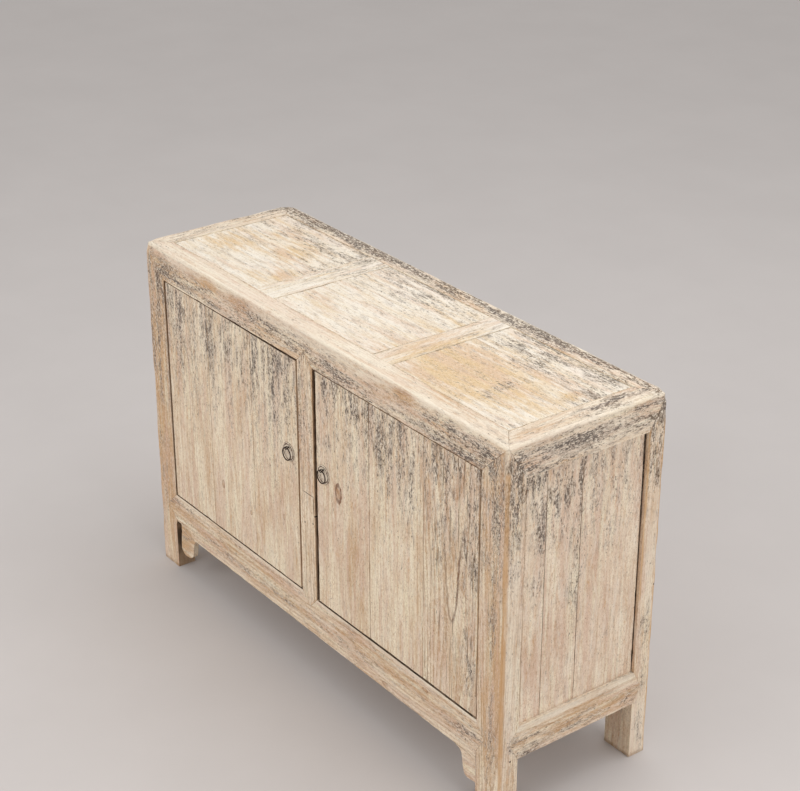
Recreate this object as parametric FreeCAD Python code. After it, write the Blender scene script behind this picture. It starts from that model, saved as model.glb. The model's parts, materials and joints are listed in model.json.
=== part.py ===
import FreeCAD
import Part
import os
from FreeCAD import Vector

# Low two-door cabinet of framed boards. All lengths in millimetres.
# X runs along the length, the doors face minus Y, Z is up from the floor.
# The body is drawn with its middle on the origin and moved at the end, so that
# the whole object, pulls included, is centred over the origin.

# overall body
body_length = 1140.0
body_depth = 350.0
body_height = 736.0
arris_radius = 5.0

# legs: the wide face looks forward, the narrow face looks sideways
leg_face = 66.0
leg_side = 40.0
leg_tenon_inset_x = 22.0
leg_tenon_width = 20.0
leg_tenon_inset_y = 12.0
leg_tenon_thickness = 15.0
leg_tenon_cover = 15.0

# top frame
top_rail_height = 66.0
end_rail_width = 48.0
cross_rail_height = 36.0
cross_left_centre = -191.0
cross_left_width = 62.0
cross_right_centre = 179.0
cross_right_width = 54.0
cross_tenon_length = 20.0
cross_tenon_height = 14.0
cross_tenon_drop = 18.0
cross_tenon_inset = 8.0

# top boards, held by a tongue in a groove of the frame
top_board_drop = 0.5
top_board_lip = 7.5
top_tongue_thickness = 6.0
top_groove_depth = 8.0
top_groove_end_clearance = 1.0
top_board_gap = 1.0
top_joint_left_outer = 2.0
top_joint_left_inner = -22.0
top_joint_centre_left = 31.0
top_joint_centre_right = 35.0
top_joint_right_inner = 53.0
top_joint_right_outer = 45.0

# bottom rails
base_front_bottom = 115.0
base_front_top = 180.0
base_side_bottom = 118.0
base_side_top = 186.0
base_rail_thickness = 30.0
shoulder_thickness = 14.0
shoulder_depth_left = 33.0
shoulder_depth_right = 21.0
shoulder_depth_side = 18.0
base_tenon_length = 28.0
base_tenon_thickness = 9.0
base_tenon_inset = 15.0
base_tenon_offset = 3.0
side_tenon_length = 24.0
side_tenon_thickness = 8.0
side_tenon_offset = 5.0

# middle uprights
stile_width = 48.0
stile_front_centre = -4.0
door_stop_clearance = 0.4
stile_shoulder_depth = 26.0
stile_shoulder_thickness = 12.0
stile_stop_width = 84.0
stile_stop_thickness = 14.0
stile_tenon_length = 20.0
stile_tenon_width = 20.0
stile_tenon_thickness = 8.0
stile_tenon_setback = 16.0

# thin boards let into grooves of the frame
panel_thickness = 10.0
panel_recess = 7.0
panel_groove_depth = 9.0
panel_groove_end_clearance = 1.0
side_joint_front = -83.0
side_joint_rear = -5.0
side_shrink_gap_top = 3.5
side_shrink_gap_bottom = 0.8
back_joint = 262.0

# floor of the inside
floor_top = 172.0
floor_thickness = 14.0
floor_groove_depth = 9.0
floor_end_clearance = 1.0
floor_gap = 0.5
floor_board_count = 3
bearer_offset = 170.0
bearer_width = 40.0
bearer_height = 28.0
bearer_tenon_length = 12.0
bearer_tenon_inset = 6.0

# apron under the front rail with a bracket at each leg
apron_height = 19.0
apron_thickness = 12.0
apron_recess = 1.0
apron_left_gap = 13.0
apron_tongue_height = 5.0
apron_tongue_thickness = 6.0
bracket_width = 60.0
bracket_height = 53.0
bracket_lean = 4.0
bracket_tongue_height = 4.0
bracket_tongue_thickness = 5.0
bracket_tongue_inset = 8.0
bracket_curve_shares = [(1.0, 0.0), (0.86, 0.05), (0.72, 0.13), (0.66, 0.27), (0.63, 0.46),
                        (0.58, 0.75), (0.48, 0.96), (0.33, 1.0), (0.15, 0.97), (0.0, 0.985)]
bracket_worn_shares = [(1.0, 0.0), (0.86, 0.12), (0.80, 0.34), (0.77, 0.55), (0.72, 0.78),
                       (0.55, 0.96), (0.38, 1.0), (0.12, 0.99), (0.02, 0.90), (0.0, 0.78)]

# doors, hung on wooden pivots turned on the outer board
door_thickness = 20.0
door_recess = 0.5
pivot_inset = 8.0
pivot_radius = 6.0
pivot_clearance = 0.05
pivot_bottom_length = 12.0
pivot_top_length = 13.0
pivot_end_clearance = 0.5
pivot_top_lift = 13.0
door_corner_radius = 3.0
left_hinge_gap = 4.0
left_free_gap = 5.5
left_top_gap = 3.0
left_bottom_gap = 2.0
right_hinge_gap = 3.0
right_free_gap = 9.0
right_top_gap = 2.0
right_bottom_gap = 3.5
left_joint_outer = -344.5
left_joint_inner = -189.0
right_joint_inner = 192.0
right_joint_outer = 351.0
batten_width = 36.0
batten_flare = 3.0
batten_sunk = 6.0
batten_proud = 9.0
batten_margin = 90.0
batten_free_inset = 30.0

# ring pulls
pull_inset_left = 27.5
pull_inset_right = 24.0
pull_height = 477.5
plate_shift = -3.0
plate_drop = 11.5
plate_radius = 19.5
plate_rim = 0.8
plate_dome_height = 1.2
plate_dome_radius = 17.0
plate_crown_radius = 6.0
eye_standoff = 7.0
eye_hole_radius = 1.9
eye_wire_radius = 1.2
pin_radius = 1.5
pin_clearance = 0.1
tail_length = 11.0
tail_width = 2.6
tail_thickness = 1.3
ring_radius = 12.8
ring_wire_radius = 1.2

# places that follow from the sizes above
half_length = body_length / 2
half_depth = body_depth / 2
leg_inner_x = half_length - leg_face
leg_inner_y = half_depth - leg_side
top_rail_bottom = body_height - top_rail_height
end_rail_inner = half_length - end_rail_width
base_inner_y = half_depth - base_rail_thickness
base_inner_x = half_length - base_rail_thickness
half_stile = stile_width / 2
stile_left = stile_front_centre - half_stile
stile_right = stile_front_centre + half_stile
door_front_y = door_recess - half_depth
door_back_y = door_front_y + door_thickness
door_stop_y = door_back_y + door_stop_clearance
tongue_top = body_height - top_board_drop - top_board_lip
tongue_bottom = tongue_top - top_tongue_thickness
eye_middle_radius = eye_hole_radius + eye_wire_radius
eye_centre_y = door_front_y - eye_standoff
pull_projection = eye_standoff + eye_middle_radius + eye_wire_radius - door_recess
x_axis = Vector(1, 0, 0)
y_axis = Vector(0, 1, 0)
origin = Vector(0, 0, 0)

os.makedirs("parts", exist_ok=True)


def block(x0, x1, y0, y1, z0, z1):
    return Part.makeBox(x1 - x0, y1 - y0, z1 - z0, Vector(x0, y0, z0))


def prism(points, push):
    wire = Part.makePolygon(points + [points[0]])
    return Part.Face(wire).extrude(push)


def prism_along_y(pairs, y0, y1):
    return prism([Vector(x, y0, z) for x, z in pairs], Vector(0, y1 - y0, 0))


def prism_along_x(pairs, x0, x1):
    return prism([Vector(x0, y, z) for y, z in pairs], Vector(x1 - x0, 0, 0))


def prism_along_z(pairs, z0, z1):
    return prism([Vector(x, y, z0) for x, y in pairs], Vector(0, 0, z1 - z0))


def join(first, *others):
    return first.fuse(list(others)).removeSplitter()


def flip_x(shape):
    return shape.mirror(origin, x_axis)


def flip_y(shape):
    return shape.mirror(origin, y_axis)


def worn_envelope():
    # the whole body with its outer arrises rounded by wear
    body = block(-half_length, half_length, -half_depth, half_depth, 0, body_height)
    edges = [e for e in body.Edges if e.CenterOfMass.z > 0]
    return body.makeFillet(arris_radius, edges)


def plain_leg():
    # front right leg: the top is cut to a point that meets both rails in mitres
    leg = block(leg_inner_x, half_length, -half_depth, -leg_inner_y, 0, body_height)
    front_cut = prism_along_y([(leg_inner_x, top_rail_bottom), (leg_inner_x, body_height),
                               (half_length, body_height)], -half_depth, -leg_inner_y)
    side_cut = prism_along_x([(-leg_inner_y, top_rail_bottom), (-leg_inner_y, body_height),
                              (-half_depth, body_height)], leg_inner_x, half_length)
    tenon_x = half_length - leg_tenon_inset_x
    tenon_y = leg_tenon_inset_y - half_depth
    tenon = block(tenon_x - leg_tenon_width, tenon_x, tenon_y, tenon_y + leg_tenon_thickness,
                  top_rail_bottom, body_height - leg_tenon_cover)
    return join(leg.cut([front_cut, side_cut]), tenon)


def mitre_wedge():
    # the part of the front right top corner that belongs to the end rail
    return prism_along_z([(half_length, -half_depth), (half_length, -leg_inner_y),
                          (end_rail_inner, -leg_inner_y)], top_rail_bottom, body_height)


def top_openings():
    # the three framed openings of the top, as x limits
    left_mid = cross_left_centre - cross_left_width / 2
    left_far = cross_left_centre + cross_left_width / 2
    right_near = cross_right_centre - cross_right_width / 2
    right_mid = cross_right_centre + cross_right_width / 2
    return [(-end_rail_inner, left_mid), (left_far, right_near), (right_mid, end_rail_inner)]


def top_grooves():
    grooves = []
    for x0, x1 in top_openings():
        grooves.append(block(x0 - top_groove_depth, x1 + top_groove_depth,
                             -leg_inner_y - top_groove_depth, leg_inner_y + top_groove_depth,
                             tongue_bottom, tongue_top))
    return grooves


def top_board(x0, x1, y_edge, joint0, joint1):
    # one board of a top panel: a lip that fills the opening and a tongue below it
    reach = top_groove_depth - top_groove_end_clearance
    side = 1 if y_edge > 0 else -1
    lip_edge = y_edge - side * top_board_gap
    tongue_edge = y_edge + side * reach
    lip = prism_along_z([(x0 + top_board_gap, joint0), (x1 - top_board_gap, joint1),
                         (x1 - top_board_gap, lip_edge), (x0 + top_board_gap, lip_edge)],
                        tongue_top, body_height - top_board_drop)
    tongue = prism_along_z([(x0 - reach, joint0), (x0 + top_board_gap, joint0),
                            (x1 - top_board_gap, joint1), (x1 + reach, joint1),
                            (x1 + reach, tongue_edge), (x0 - reach, tongue_edge)],
                           tongue_bottom, tongue_top)
    return join(lip, tongue)


def cross_rail(centre, width):
    rail = block(centre - width / 2, centre + width / 2, -leg_inner_y, leg_inner_y,
                 body_height - cross_rail_height, body_height)
    tenon_top = body_height - cross_tenon_drop
    tenon = block(centre - width / 2 + cross_tenon_inset, centre + width / 2 - cross_tenon_inset,
                  -leg_inner_y - cross_tenon_length, leg_inner_y + cross_tenon_length,
                  tenon_top - cross_tenon_height, tenon_top)
    return join(rail, tenon)


def base_rail_front():
    # pointed shoulders lie on the face of the legs, a tenon sits behind each of them
    low, high = base_front_bottom, base_front_top
    middle = (low + high) / 2
    face = prism_along_y([(-leg_inner_x, low), (leg_inner_x, low),
                          (leg_inner_x + shoulder_depth_right, middle), (leg_inner_x, high),
                          (-leg_inner_x, high), (-leg_inner_x - shoulder_depth_left, middle)],
                         -half_depth, shoulder_thickness - half_depth)
    back = block(-leg_inner_x, leg_inner_x, shoulder_thickness - half_depth, -base_inner_y, low, high)
    tenon_y = shoulder_thickness + base_tenon_offset - half_depth
    tenon = block(-leg_inner_x - base_tenon_length, leg_inner_x + base_tenon_length,
                  tenon_y, tenon_y + base_tenon_thickness,
                  low + base_tenon_inset, high - base_tenon_inset)
    return join(face, back, tenon)


def base_rail_right():
    low, high = base_side_bottom, base_side_top
    middle = (low + high) / 2
    face_x = half_length - shoulder_thickness
    face = prism_along_x([(-leg_inner_y, low), (leg_inner_y, low),
                          (leg_inner_y + shoulder_depth_side, middle), (leg_inner_y, high),
                          (-leg_inner_y, high), (-leg_inner_y - shoulder_depth_side, middle)],
                         face_x, half_length)
    back = block(base_inner_x, face_x, -leg_inner_y, leg_inner_y, low, high)
    tenon_x = face_x - side_tenon_offset
    tenon = block(tenon_x - side_tenon_thickness, tenon_x,
                  -leg_inner_y - side_tenon_length, leg_inner_y + side_tenon_length,
                  low + base_tenon_inset, high - base_tenon_inset)
    return join(face, back, tenon)


def stile_front():
    low, high = base_front_top, top_rail_bottom
    centre = stile_front_centre
    face = prism_along_y([(stile_left, low), (centre, low - stile_shoulder_depth), (stile_right, low),
                          (stile_right, high), (centre, high + stile_shoulder_depth), (stile_left, high)],
                         -half_depth, stile_shoulder_thickness - half_depth)
    core = block(stile_left, stile_right, stile_shoulder_thickness - half_depth, door_stop_y, low, high)
    stop = block(centre - stile_stop_width / 2, centre + stile_stop_width / 2, door_stop_y,
                 door_stop_y + stile_stop_thickness, low, high)
    tenon_y = stile_tenon_setback - half_depth
    tenon = block(centre - stile_tenon_width / 2, centre + stile_tenon_width / 2, tenon_y,
                  tenon_y + stile_tenon_thickness, low - stile_tenon_length, high + stile_tenon_length)
    return join(face, core, stop, tenon)


def stile_rear():
    low, high = base_front_top, top_rail_bottom
    core = block(-half_stile, half_stile, base_inner_y, half_depth, low, high)
    tenon_y = half_depth - stile_tenon_setback
    tenon = block(-stile_tenon_width / 2, stile_tenon_width / 2, tenon_y - stile_tenon_thickness,
                  tenon_y, low - stile_tenon_length, high + stile_tenon_length)
    return join(core, tenon)


def side_panel_limits():
    face = half_length - panel_recess
    return face - panel_thickness, face


def back_panel_limits():
    face = half_depth - panel_recess
    return face - panel_thickness, face


def side_boards_right():
    # three upright boards; the rear one has shrunk and shows a tapering gap at the leg
    x0, x1 = side_panel_limits()
    reach = panel_groove_depth - panel_groove_end_clearance
    low, high = base_side_top - reach, top_rail_bottom + reach
    front = block(x0, x1, -leg_inner_y - reach, side_joint_front, low, high)
    middle = block(x0, x1, side_joint_front, side_joint_rear, low, high)
    rear = prism_along_x([(side_joint_rear, low), (leg_inner_y - side_shrink_gap_bottom, low),
                          (leg_inner_y - side_shrink_gap_top, high), (side_joint_rear, high)], x0, x1)
    return front, middle, rear


def side_groove_right():
    x0, x1 = side_panel_limits()
    return block(x0, x1, -leg_inner_y - panel_groove_depth, leg_inner_y + panel_groove_depth,
                 base_side_top - panel_groove_depth, top_rail_bottom + panel_groove_depth)


def back_boards_right():
    y0, y1 = back_panel_limits()
    reach = panel_groove_depth - panel_groove_end_clearance
    low, high = base_front_top - reach, top_rail_bottom + reach
    inner = block(half_stile - reach, back_joint, y0, y1, low, high)
    outer = block(back_joint, leg_inner_x + reach, y0, y1, low, high)
    return inner, outer


def back_grooves():
    y0, y1 = back_panel_limits()
    right = block(half_stile - panel_groove_depth, leg_inner_x + panel_groove_depth, y0, y1,
                  base_front_top - panel_groove_depth, top_rail_bottom + panel_groove_depth)
    return [right, flip_x(right)]


def floor_boards():
    low, high = floor_top - floor_thickness, floor_top
    reach = base_inner_x + floor_groove_depth - floor_end_clearance
    edge = base_inner_y - floor_gap
    width = edge * 2 / floor_board_count
    leg_room = []
    for sx in (-1, 1):
        for sy in (-1, 1):
            xs = sorted([sx * (leg_inner_x - floor_gap), sx * half_length])
            ys = sorted([sy * (leg_inner_y - floor_gap), sy * half_depth])
            leg_room.append(block(xs[0], xs[1], ys[0], ys[1], low, high))
    boards = []
    for i in range(floor_board_count):
        y0 = -edge + i * width
        boards.append(block(-reach, reach, y0, y0 + width, low, high).cut(leg_room))
    return boards


def floor_groove_right():
    reach = base_inner_x + floor_groove_depth
    return block(base_inner_x, reach, -leg_inner_y, leg_inner_y, floor_top - floor_thickness, floor_top)


def bearer(centre):
    top = floor_top - floor_thickness
    low = top - bearer_height
    half = bearer_width / 2
    core = block(centre - half, centre + half, -base_inner_y, base_inner_y, low, top)
    tenon = block(centre - half + bearer_tenon_inset, centre + half - bearer_tenon_inset,
                  -base_inner_y - bearer_tenon_length, base_inner_y + bearer_tenon_length,
                  low + bearer_tenon_inset, top - bearer_tenon_inset)
    return join(core, tenon)


def apron_strip():
    face = apron_recess - half_depth
    low = base_front_bottom - apron_height
    strip = block(apron_left_gap - leg_inner_x, leg_inner_x, face, face + apron_thickness,
                  low, base_front_bottom)
    tongue_y = face + (apron_thickness - apron_tongue_thickness) / 2
    tongue = block(apron_left_gap - leg_inner_x, leg_inner_x, tongue_y,
                   tongue_y + apron_tongue_thickness,
                   base_front_bottom, base_front_bottom + apron_tongue_height)
    return join(strip, tongue)


def bracket(edge_x, direction, shares, lean):
    # outline runs from the apron along the shaped edge to the foot of the bracket
    face = apron_recess - half_depth
    top = base_front_bottom - apron_height
    outline = [(edge_x + direction * bracket_width * u, top - bracket_height * v) for u, v in shares]
    outline[-1] = (outline[-1][0] - direction * lean, outline[-1][1])
    curve = Part.BSplineCurve()
    curve.interpolate([Vector(x, face, z) for x, z in outline])
    edge = curve.toShape()
    corner = Vector(edge_x, face, top)
    start = Vector(outline[0][0], face, outline[0][1])
    end = Vector(outline[-1][0], face, outline[-1][1])
    wire = Part.Wire([edge, Part.makeLine(end, corner), Part.makeLine(corner, start)])
    plate = Part.Face(wire).extrude(Vector(0, apron_thickness, 0))
    tongue_y = face + (apron_thickness - bracket_tongue_thickness) / 2
    xs = sorted([edge_x + direction * bracket_tongue_inset,
                 edge_x + direction * (bracket_width - bracket_tongue_inset)])
    tongue = block(xs[0], xs[1], tongue_y, tongue_y + bracket_tongue_thickness,
                   top, top + bracket_tongue_height)
    return join(plate, tongue)


def door_limits(side):
    # hinge edge, free edge, bottom and top of a door leaf
    if side < 0:
        return (left_hinge_gap - leg_inner_x, stile_left - left_free_gap,
                base_front_top + left_bottom_gap, top_rail_bottom - left_top_gap)
    return (leg_inner_x - right_hinge_gap, stile_right + right_free_gap,
            base_front_top + right_bottom_gap, top_rail_bottom - right_top_gap)


def door_boards(side, joint_outer, joint_inner):
    hinge, free, low, high = door_limits(side)
    pieces = []
    for a, b in ((hinge, joint_outer), (joint_outer, joint_inner), (joint_inner, free)):
        pieces.append(block(min(a, b), max(a, b), door_front_y, door_back_y, low, high))
    arris = Vector(hinge, door_front_y, (low + high) / 2)
    corner = min(pieces[0].Edges, key=lambda edge: edge.CenterOfMass.distanceToPoint(arris))
    outer = pieces[0].makeFillet(door_corner_radius, [corner])
    axis_x = hinge - side * pivot_inset
    axis_y = door_front_y + pivot_inset
    foot = Vector(axis_x, axis_y, low - pivot_bottom_length)
    lower = Part.makeCylinder(pivot_radius, pivot_bottom_length, foot)
    upper = Part.makeCylinder(pivot_radius, pivot_top_length, Vector(axis_x, axis_y, high))
    pieces[0] = join(outer, lower, upper)
    return pieces


def batten_centres(side):
    hinge, free, low, high = door_limits(side)
    return low + batten_margin, high - batten_margin


def door_batten(side, centre):
    # a dovetailed batten slid in from the hinge edge of the leaf
    hinge, free, low, high = door_limits(side)
    half = batten_width / 2
    section = [(door_back_y - batten_sunk, centre - half - batten_flare), (door_back_y, centre - half),
               (door_back_y + batten_proud, centre - half), (door_back_y + batten_proud, centre + half),
               (door_back_y, centre + half), (door_back_y - batten_sunk, centre + half + batten_flare)]
    ends = sorted([hinge, free + side * batten_free_inset])
    return prism_along_x(section, ends[0], ends[1])


def pivot_sockets(side):
    hinge, free, low, high = door_limits(side)
    axis_x = hinge - side * pivot_inset
    axis_y = door_front_y + pivot_inset
    radius = pivot_radius + pivot_clearance
    floor_z = low - pivot_bottom_length - pivot_end_clearance
    lower = Part.makeCylinder(radius, base_front_top - floor_z, Vector(axis_x, axis_y, floor_z))
    roof_z = high + pivot_top_length + pivot_top_lift
    upper = Part.makeCylinder(radius, roof_z - top_rail_bottom, Vector(axis_x, axis_y, top_rail_bottom))
    return lower, upper


def pull_x(side):
    hinge, free, low, high = door_limits(side)
    return free + side * (pull_inset_left if side < 0 else pull_inset_right)


def pin_hole(side, radius):
    start = Vector(pull_x(side), door_front_y - eye_standoff, pull_height)
    return Part.makeCylinder(radius, eye_standoff + door_thickness, start, y_axis)


def pull_plate(side):
    # a thin domed disc that sits lower than its pin and a little to the left of it
    face = Vector(pull_x(side) + plate_shift, door_front_y - plate_rim, pull_height - plate_drop)
    rim = Part.makeCylinder(plate_radius, plate_rim, face, y_axis)
    dome = Part.makeCone(plate_dome_radius, plate_crown_radius, plate_dome_height, face, -y_axis)
    return join(rim, dome).cut(pin_hole(side, pin_radius + pin_clearance))


def pull_pin(side):
    # split pin: an eye in front, a shank through the board, two tails bent flat behind it
    x = pull_x(side)
    eye = Part.makeTorus(eye_middle_radius, eye_wire_radius, Vector(x, eye_centre_y, pull_height), x_axis)
    shank_start = eye_centre_y + eye_middle_radius
    shank_end = door_back_y + tail_thickness
    neck = Vector(x, shank_start, pull_height)
    shank = Part.makeCylinder(pin_radius, shank_end - shank_start, neck, y_axis)
    tails = block(x - tail_width / 2, x + tail_width / 2, door_back_y, shank_end,
                  pull_height - tail_length, pull_height + tail_length)
    return join(eye, shank, tails)


def pull_ring(side):
    centre = Vector(pull_x(side), eye_centre_y, pull_height - ring_radius)
    return Part.makeTorus(ring_radius, ring_wire_radius, centre, y_axis)


nodes = {}

# frame pieces before they are cut to one another
envelope = worn_envelope()
leg = plain_leg()
legs = {"leg_front_right": leg, "leg_front_left": flip_x(leg),
        "leg_rear_right": flip_y(leg), "leg_rear_left": flip_x(flip_y(leg))}
leg_list = list(legs.values())
wedge = mitre_wedge()
wedges = [wedge, flip_x(wedge), flip_y(wedge), flip_x(flip_y(wedge))]
grooves = top_grooves()
side_groove = side_groove_right()
stile = stile_front()
rear_stile = stile_rear()
cross_rails = {"top_crossrail_left": cross_rail(cross_left_centre, cross_left_width),
               "top_crossrail_right": cross_rail(cross_right_centre, cross_right_width)}

# top frame
front_rail = block(-half_length, half_length, -half_depth, -leg_inner_y, top_rail_bottom, body_height)
sockets_left = pivot_sockets(-1)
sockets_right = pivot_sockets(1)
shared_cuts = wedges + leg_list + grooves + list(cross_rails.values())
front_cuts = shared_cuts + [stile, sockets_left[1], sockets_right[1]]
nodes["top_rail_front"] = front_rail.cut(front_cuts).common(envelope)
rear_cuts = shared_cuts + [rear_stile] + back_grooves()
nodes["top_rail_rear"] = flip_y(front_rail).cut(rear_cuts).common(envelope)
end_rail = block(end_rail_inner, half_length, -leg_inner_y, leg_inner_y, top_rail_bottom, body_height)
right_rail = join(end_rail, wedge, flip_y(wedge)).cut(leg_list + grooves + [side_groove])
nodes["top_rail_right"] = right_rail.common(envelope)
left_rail = flip_x(join(end_rail, wedge, flip_y(wedge))).cut(leg_list + grooves + [flip_x(side_groove)])
nodes["top_rail_left"] = left_rail.common(envelope)
for name, rail in cross_rails.items():
    nodes[name] = rail.cut(grooves)

# bottom frame
bearers = {"floor_bearer_left": bearer(-bearer_offset), "floor_bearer_right": bearer(bearer_offset)}
apron = apron_strip()
front_base = base_rail_front()
rear_base = flip_y(front_base)
right_base = base_rail_right()
left_base = flip_x(right_base)
bearer_list = list(bearers.values())
nodes["base_rail_front"] = front_base.cut([stile, apron, sockets_left[0], sockets_right[0]] + bearer_list)
nodes["base_rail_rear"] = rear_base.cut([rear_stile] + bearer_list + back_grooves())
floor_groove = floor_groove_right()
nodes["base_rail_right"] = right_base.cut([side_groove, floor_groove])
nodes["base_rail_left"] = left_base.cut([flip_x(side_groove), flip_x(floor_groove)])
nodes.update(bearers)

# legs, mortised for the rails and grooved for the boards
leg_cuts = [front_base, rear_base, right_base, left_base, side_groove, flip_x(side_groove)] + back_grooves()
for name, shape in legs.items():
    nodes[name] = shape.cut(leg_cuts).common(envelope)

# middle uprights
nodes["stile_front"] = stile
nodes["stile_rear"] = rear_stile.cut(back_grooves())

# boards of the top
joint_lines = ((top_joint_left_outer, top_joint_left_inner),
               (top_joint_centre_left, top_joint_centre_right),
               (top_joint_right_inner, top_joint_right_outer))
for place, limits, joints in zip(("left", "centre", "right"), top_openings(), joint_lines):
    for depth, edge in (("front", -leg_inner_y), ("rear", leg_inner_y)):
        nodes["top_board_" + place + "_" + depth] = top_board(*limits, edge, *joints)

# boards of the ends, back and floor
for place, board in zip(("front", "middle", "rear"), side_boards_right()):
    nodes["side_board_right_" + place] = board
    nodes["side_board_left_" + place] = flip_x(board)
for place, board in zip(("inner", "outer"), back_boards_right()):
    nodes["back_board_right_" + place] = board
    nodes["back_board_left_" + place] = flip_x(board)
for place, board in zip(("front", "middle", "rear"), floor_boards()):
    nodes["floor_board_" + place] = board

# apron and brackets
bracket_right = bracket(leg_inner_x, -1, bracket_curve_shares, 0)
bracket_left = bracket(apron_left_gap - leg_inner_x, 1, bracket_worn_shares, bracket_lean)
nodes["apron_strip"] = apron.cut([bracket_left, bracket_right])
nodes["bracket_right"] = bracket_right
nodes["bracket_left"] = bracket_left

# doors and their pulls
door_joints = {"left": (-1, left_joint_outer, left_joint_inner),
               "right": (1, right_joint_outer, right_joint_inner)}
for place, (side, joint_outer, joint_inner) in door_joints.items():
    battens = [door_batten(side, centre) for centre in batten_centres(side)]
    hole = pin_hole(side, pin_radius + pin_clearance)
    for part, board in zip(("outer", "middle", "inner"), door_boards(side, joint_outer, joint_inner)):
        nodes["door_" + place + "_board_" + part] = board.cut(battens + [hole])
    nodes["door_" + place + "_batten_lower"] = battens[0]
    nodes["door_" + place + "_batten_upper"] = battens[1]
    nodes["pull_plate_" + place] = pull_plate(side)
    nodes["pull_pin_" + place] = pull_pin(side)
    nodes["pull_ring_" + place] = pull_ring(side)

shift = Vector(0, pull_projection / 2, 0)
for name in sorted(nodes):
    shape = nodes[name]
    solids = shape.Solids
    print(name, len(solids), shape.isValid(), round(shape.Volume))
    result = solids[0] if len(solids) == 1 else Part.makeCompound(solids)
    result = result.copy()
    result.translate(shift)
    result.exportStep("parts/" + name + ".step")
print(len(nodes), "pieces; pull projection", pull_projection)
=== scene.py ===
# %% [markdown]
# # Dressing an old bleached cabinet
#
# The cabinet comes from CAD as fifty-six plain solids: legs, rails, boards, doors and pulls, each in
# its true place. This lesson turns them into what a buyer would see: old softwood that was painted
# dark long ago, stripped, scrubbed with lime and handled for many years. We keep every solid's place
# and size, and change only how it looks. Each step has a short text, then a cell of code.

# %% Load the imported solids
import json
import math

import bmesh
import bpy
import numpy as np
from mathutils import Matrix, Vector, noise
from mathutils.bvhtree import BVHTree


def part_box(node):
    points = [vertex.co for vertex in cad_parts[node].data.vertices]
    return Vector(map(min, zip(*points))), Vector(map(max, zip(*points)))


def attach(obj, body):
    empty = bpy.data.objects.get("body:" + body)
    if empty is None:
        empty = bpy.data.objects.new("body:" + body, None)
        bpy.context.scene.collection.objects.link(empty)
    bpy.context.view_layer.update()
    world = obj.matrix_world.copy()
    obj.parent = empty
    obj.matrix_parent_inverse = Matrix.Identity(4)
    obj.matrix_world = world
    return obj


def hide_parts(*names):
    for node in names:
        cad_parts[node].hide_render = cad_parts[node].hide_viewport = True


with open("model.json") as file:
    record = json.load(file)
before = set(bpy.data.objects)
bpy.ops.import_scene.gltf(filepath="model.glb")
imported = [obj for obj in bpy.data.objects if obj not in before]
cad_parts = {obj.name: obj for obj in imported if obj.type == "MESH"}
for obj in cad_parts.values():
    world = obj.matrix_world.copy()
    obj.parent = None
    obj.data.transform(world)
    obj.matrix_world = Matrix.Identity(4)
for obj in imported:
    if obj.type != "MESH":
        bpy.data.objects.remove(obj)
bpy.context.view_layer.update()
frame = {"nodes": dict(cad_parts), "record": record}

MM = 0.001
members = frame["record"]["behaviour"]["bodies"]
body_of = {node: body for body, nodes in members.items() for node in nodes}
boxes = {node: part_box(node) for node in body_of}
print("solids:", len(body_of), "bodies:", list(members))

# The wooden body in millimetres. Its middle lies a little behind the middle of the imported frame,
# because that frame counts the pulls in.
HALF_LENGTH, HALF_DEPTH, HEIGHT = 570.0, 175.0, 736.0
DEPTH_SHIFT = 5.4

# %% [markdown]
# ## The camera
#
# A camera is easiest to trust when it comes from the picture's own straight edges. The three axes
# below were worked out that way: right, up and backward, as the camera sees them, and the place it
# stands. The lens is long, 83 mm on a 36 mm film, so the cabinet's far end shrinks only a little.

# %% Set up the camera
CAMERA_PLACE = Vector((2.53516, -1.86230, 2.08389))
CAMERA_RIGHT = Vector((0.60138, 0.79896, -0.00045))
CAMERA_UP = Vector((-0.34831, 0.26268, 0.89982))
CAMERA_BACK = Vector((0.71904, -0.54098, 0.43626))

lens = bpy.data.cameras.new("camera")
lens.sensor_width = 36
lens.lens = 83.46
camera = bpy.data.objects.new("camera", lens)
bpy.context.scene.collection.objects.link(camera)
turn = Matrix((CAMERA_RIGHT, CAMERA_UP, CAMERA_BACK)).transposed().to_4x4()
camera.matrix_world = Matrix.Translation(CAMERA_PLACE) @ turn
bpy.context.scene.camera = camera
print("the camera stands", round(CAMERA_PLACE.length, 2), "m from the middle of the cabinet's foot")

# %% [markdown]
# ## A recipe for finishes
#
# A finish is a chain of nodes: clouds of noise, sums, thresholds and blends of colour. Written out
# in full, each node takes three or four lines, which hides the idea. So first we make a small
# helper, a recipe, that adds one node per call and lets a value be a plain number or the result of
# an earlier step.

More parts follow.
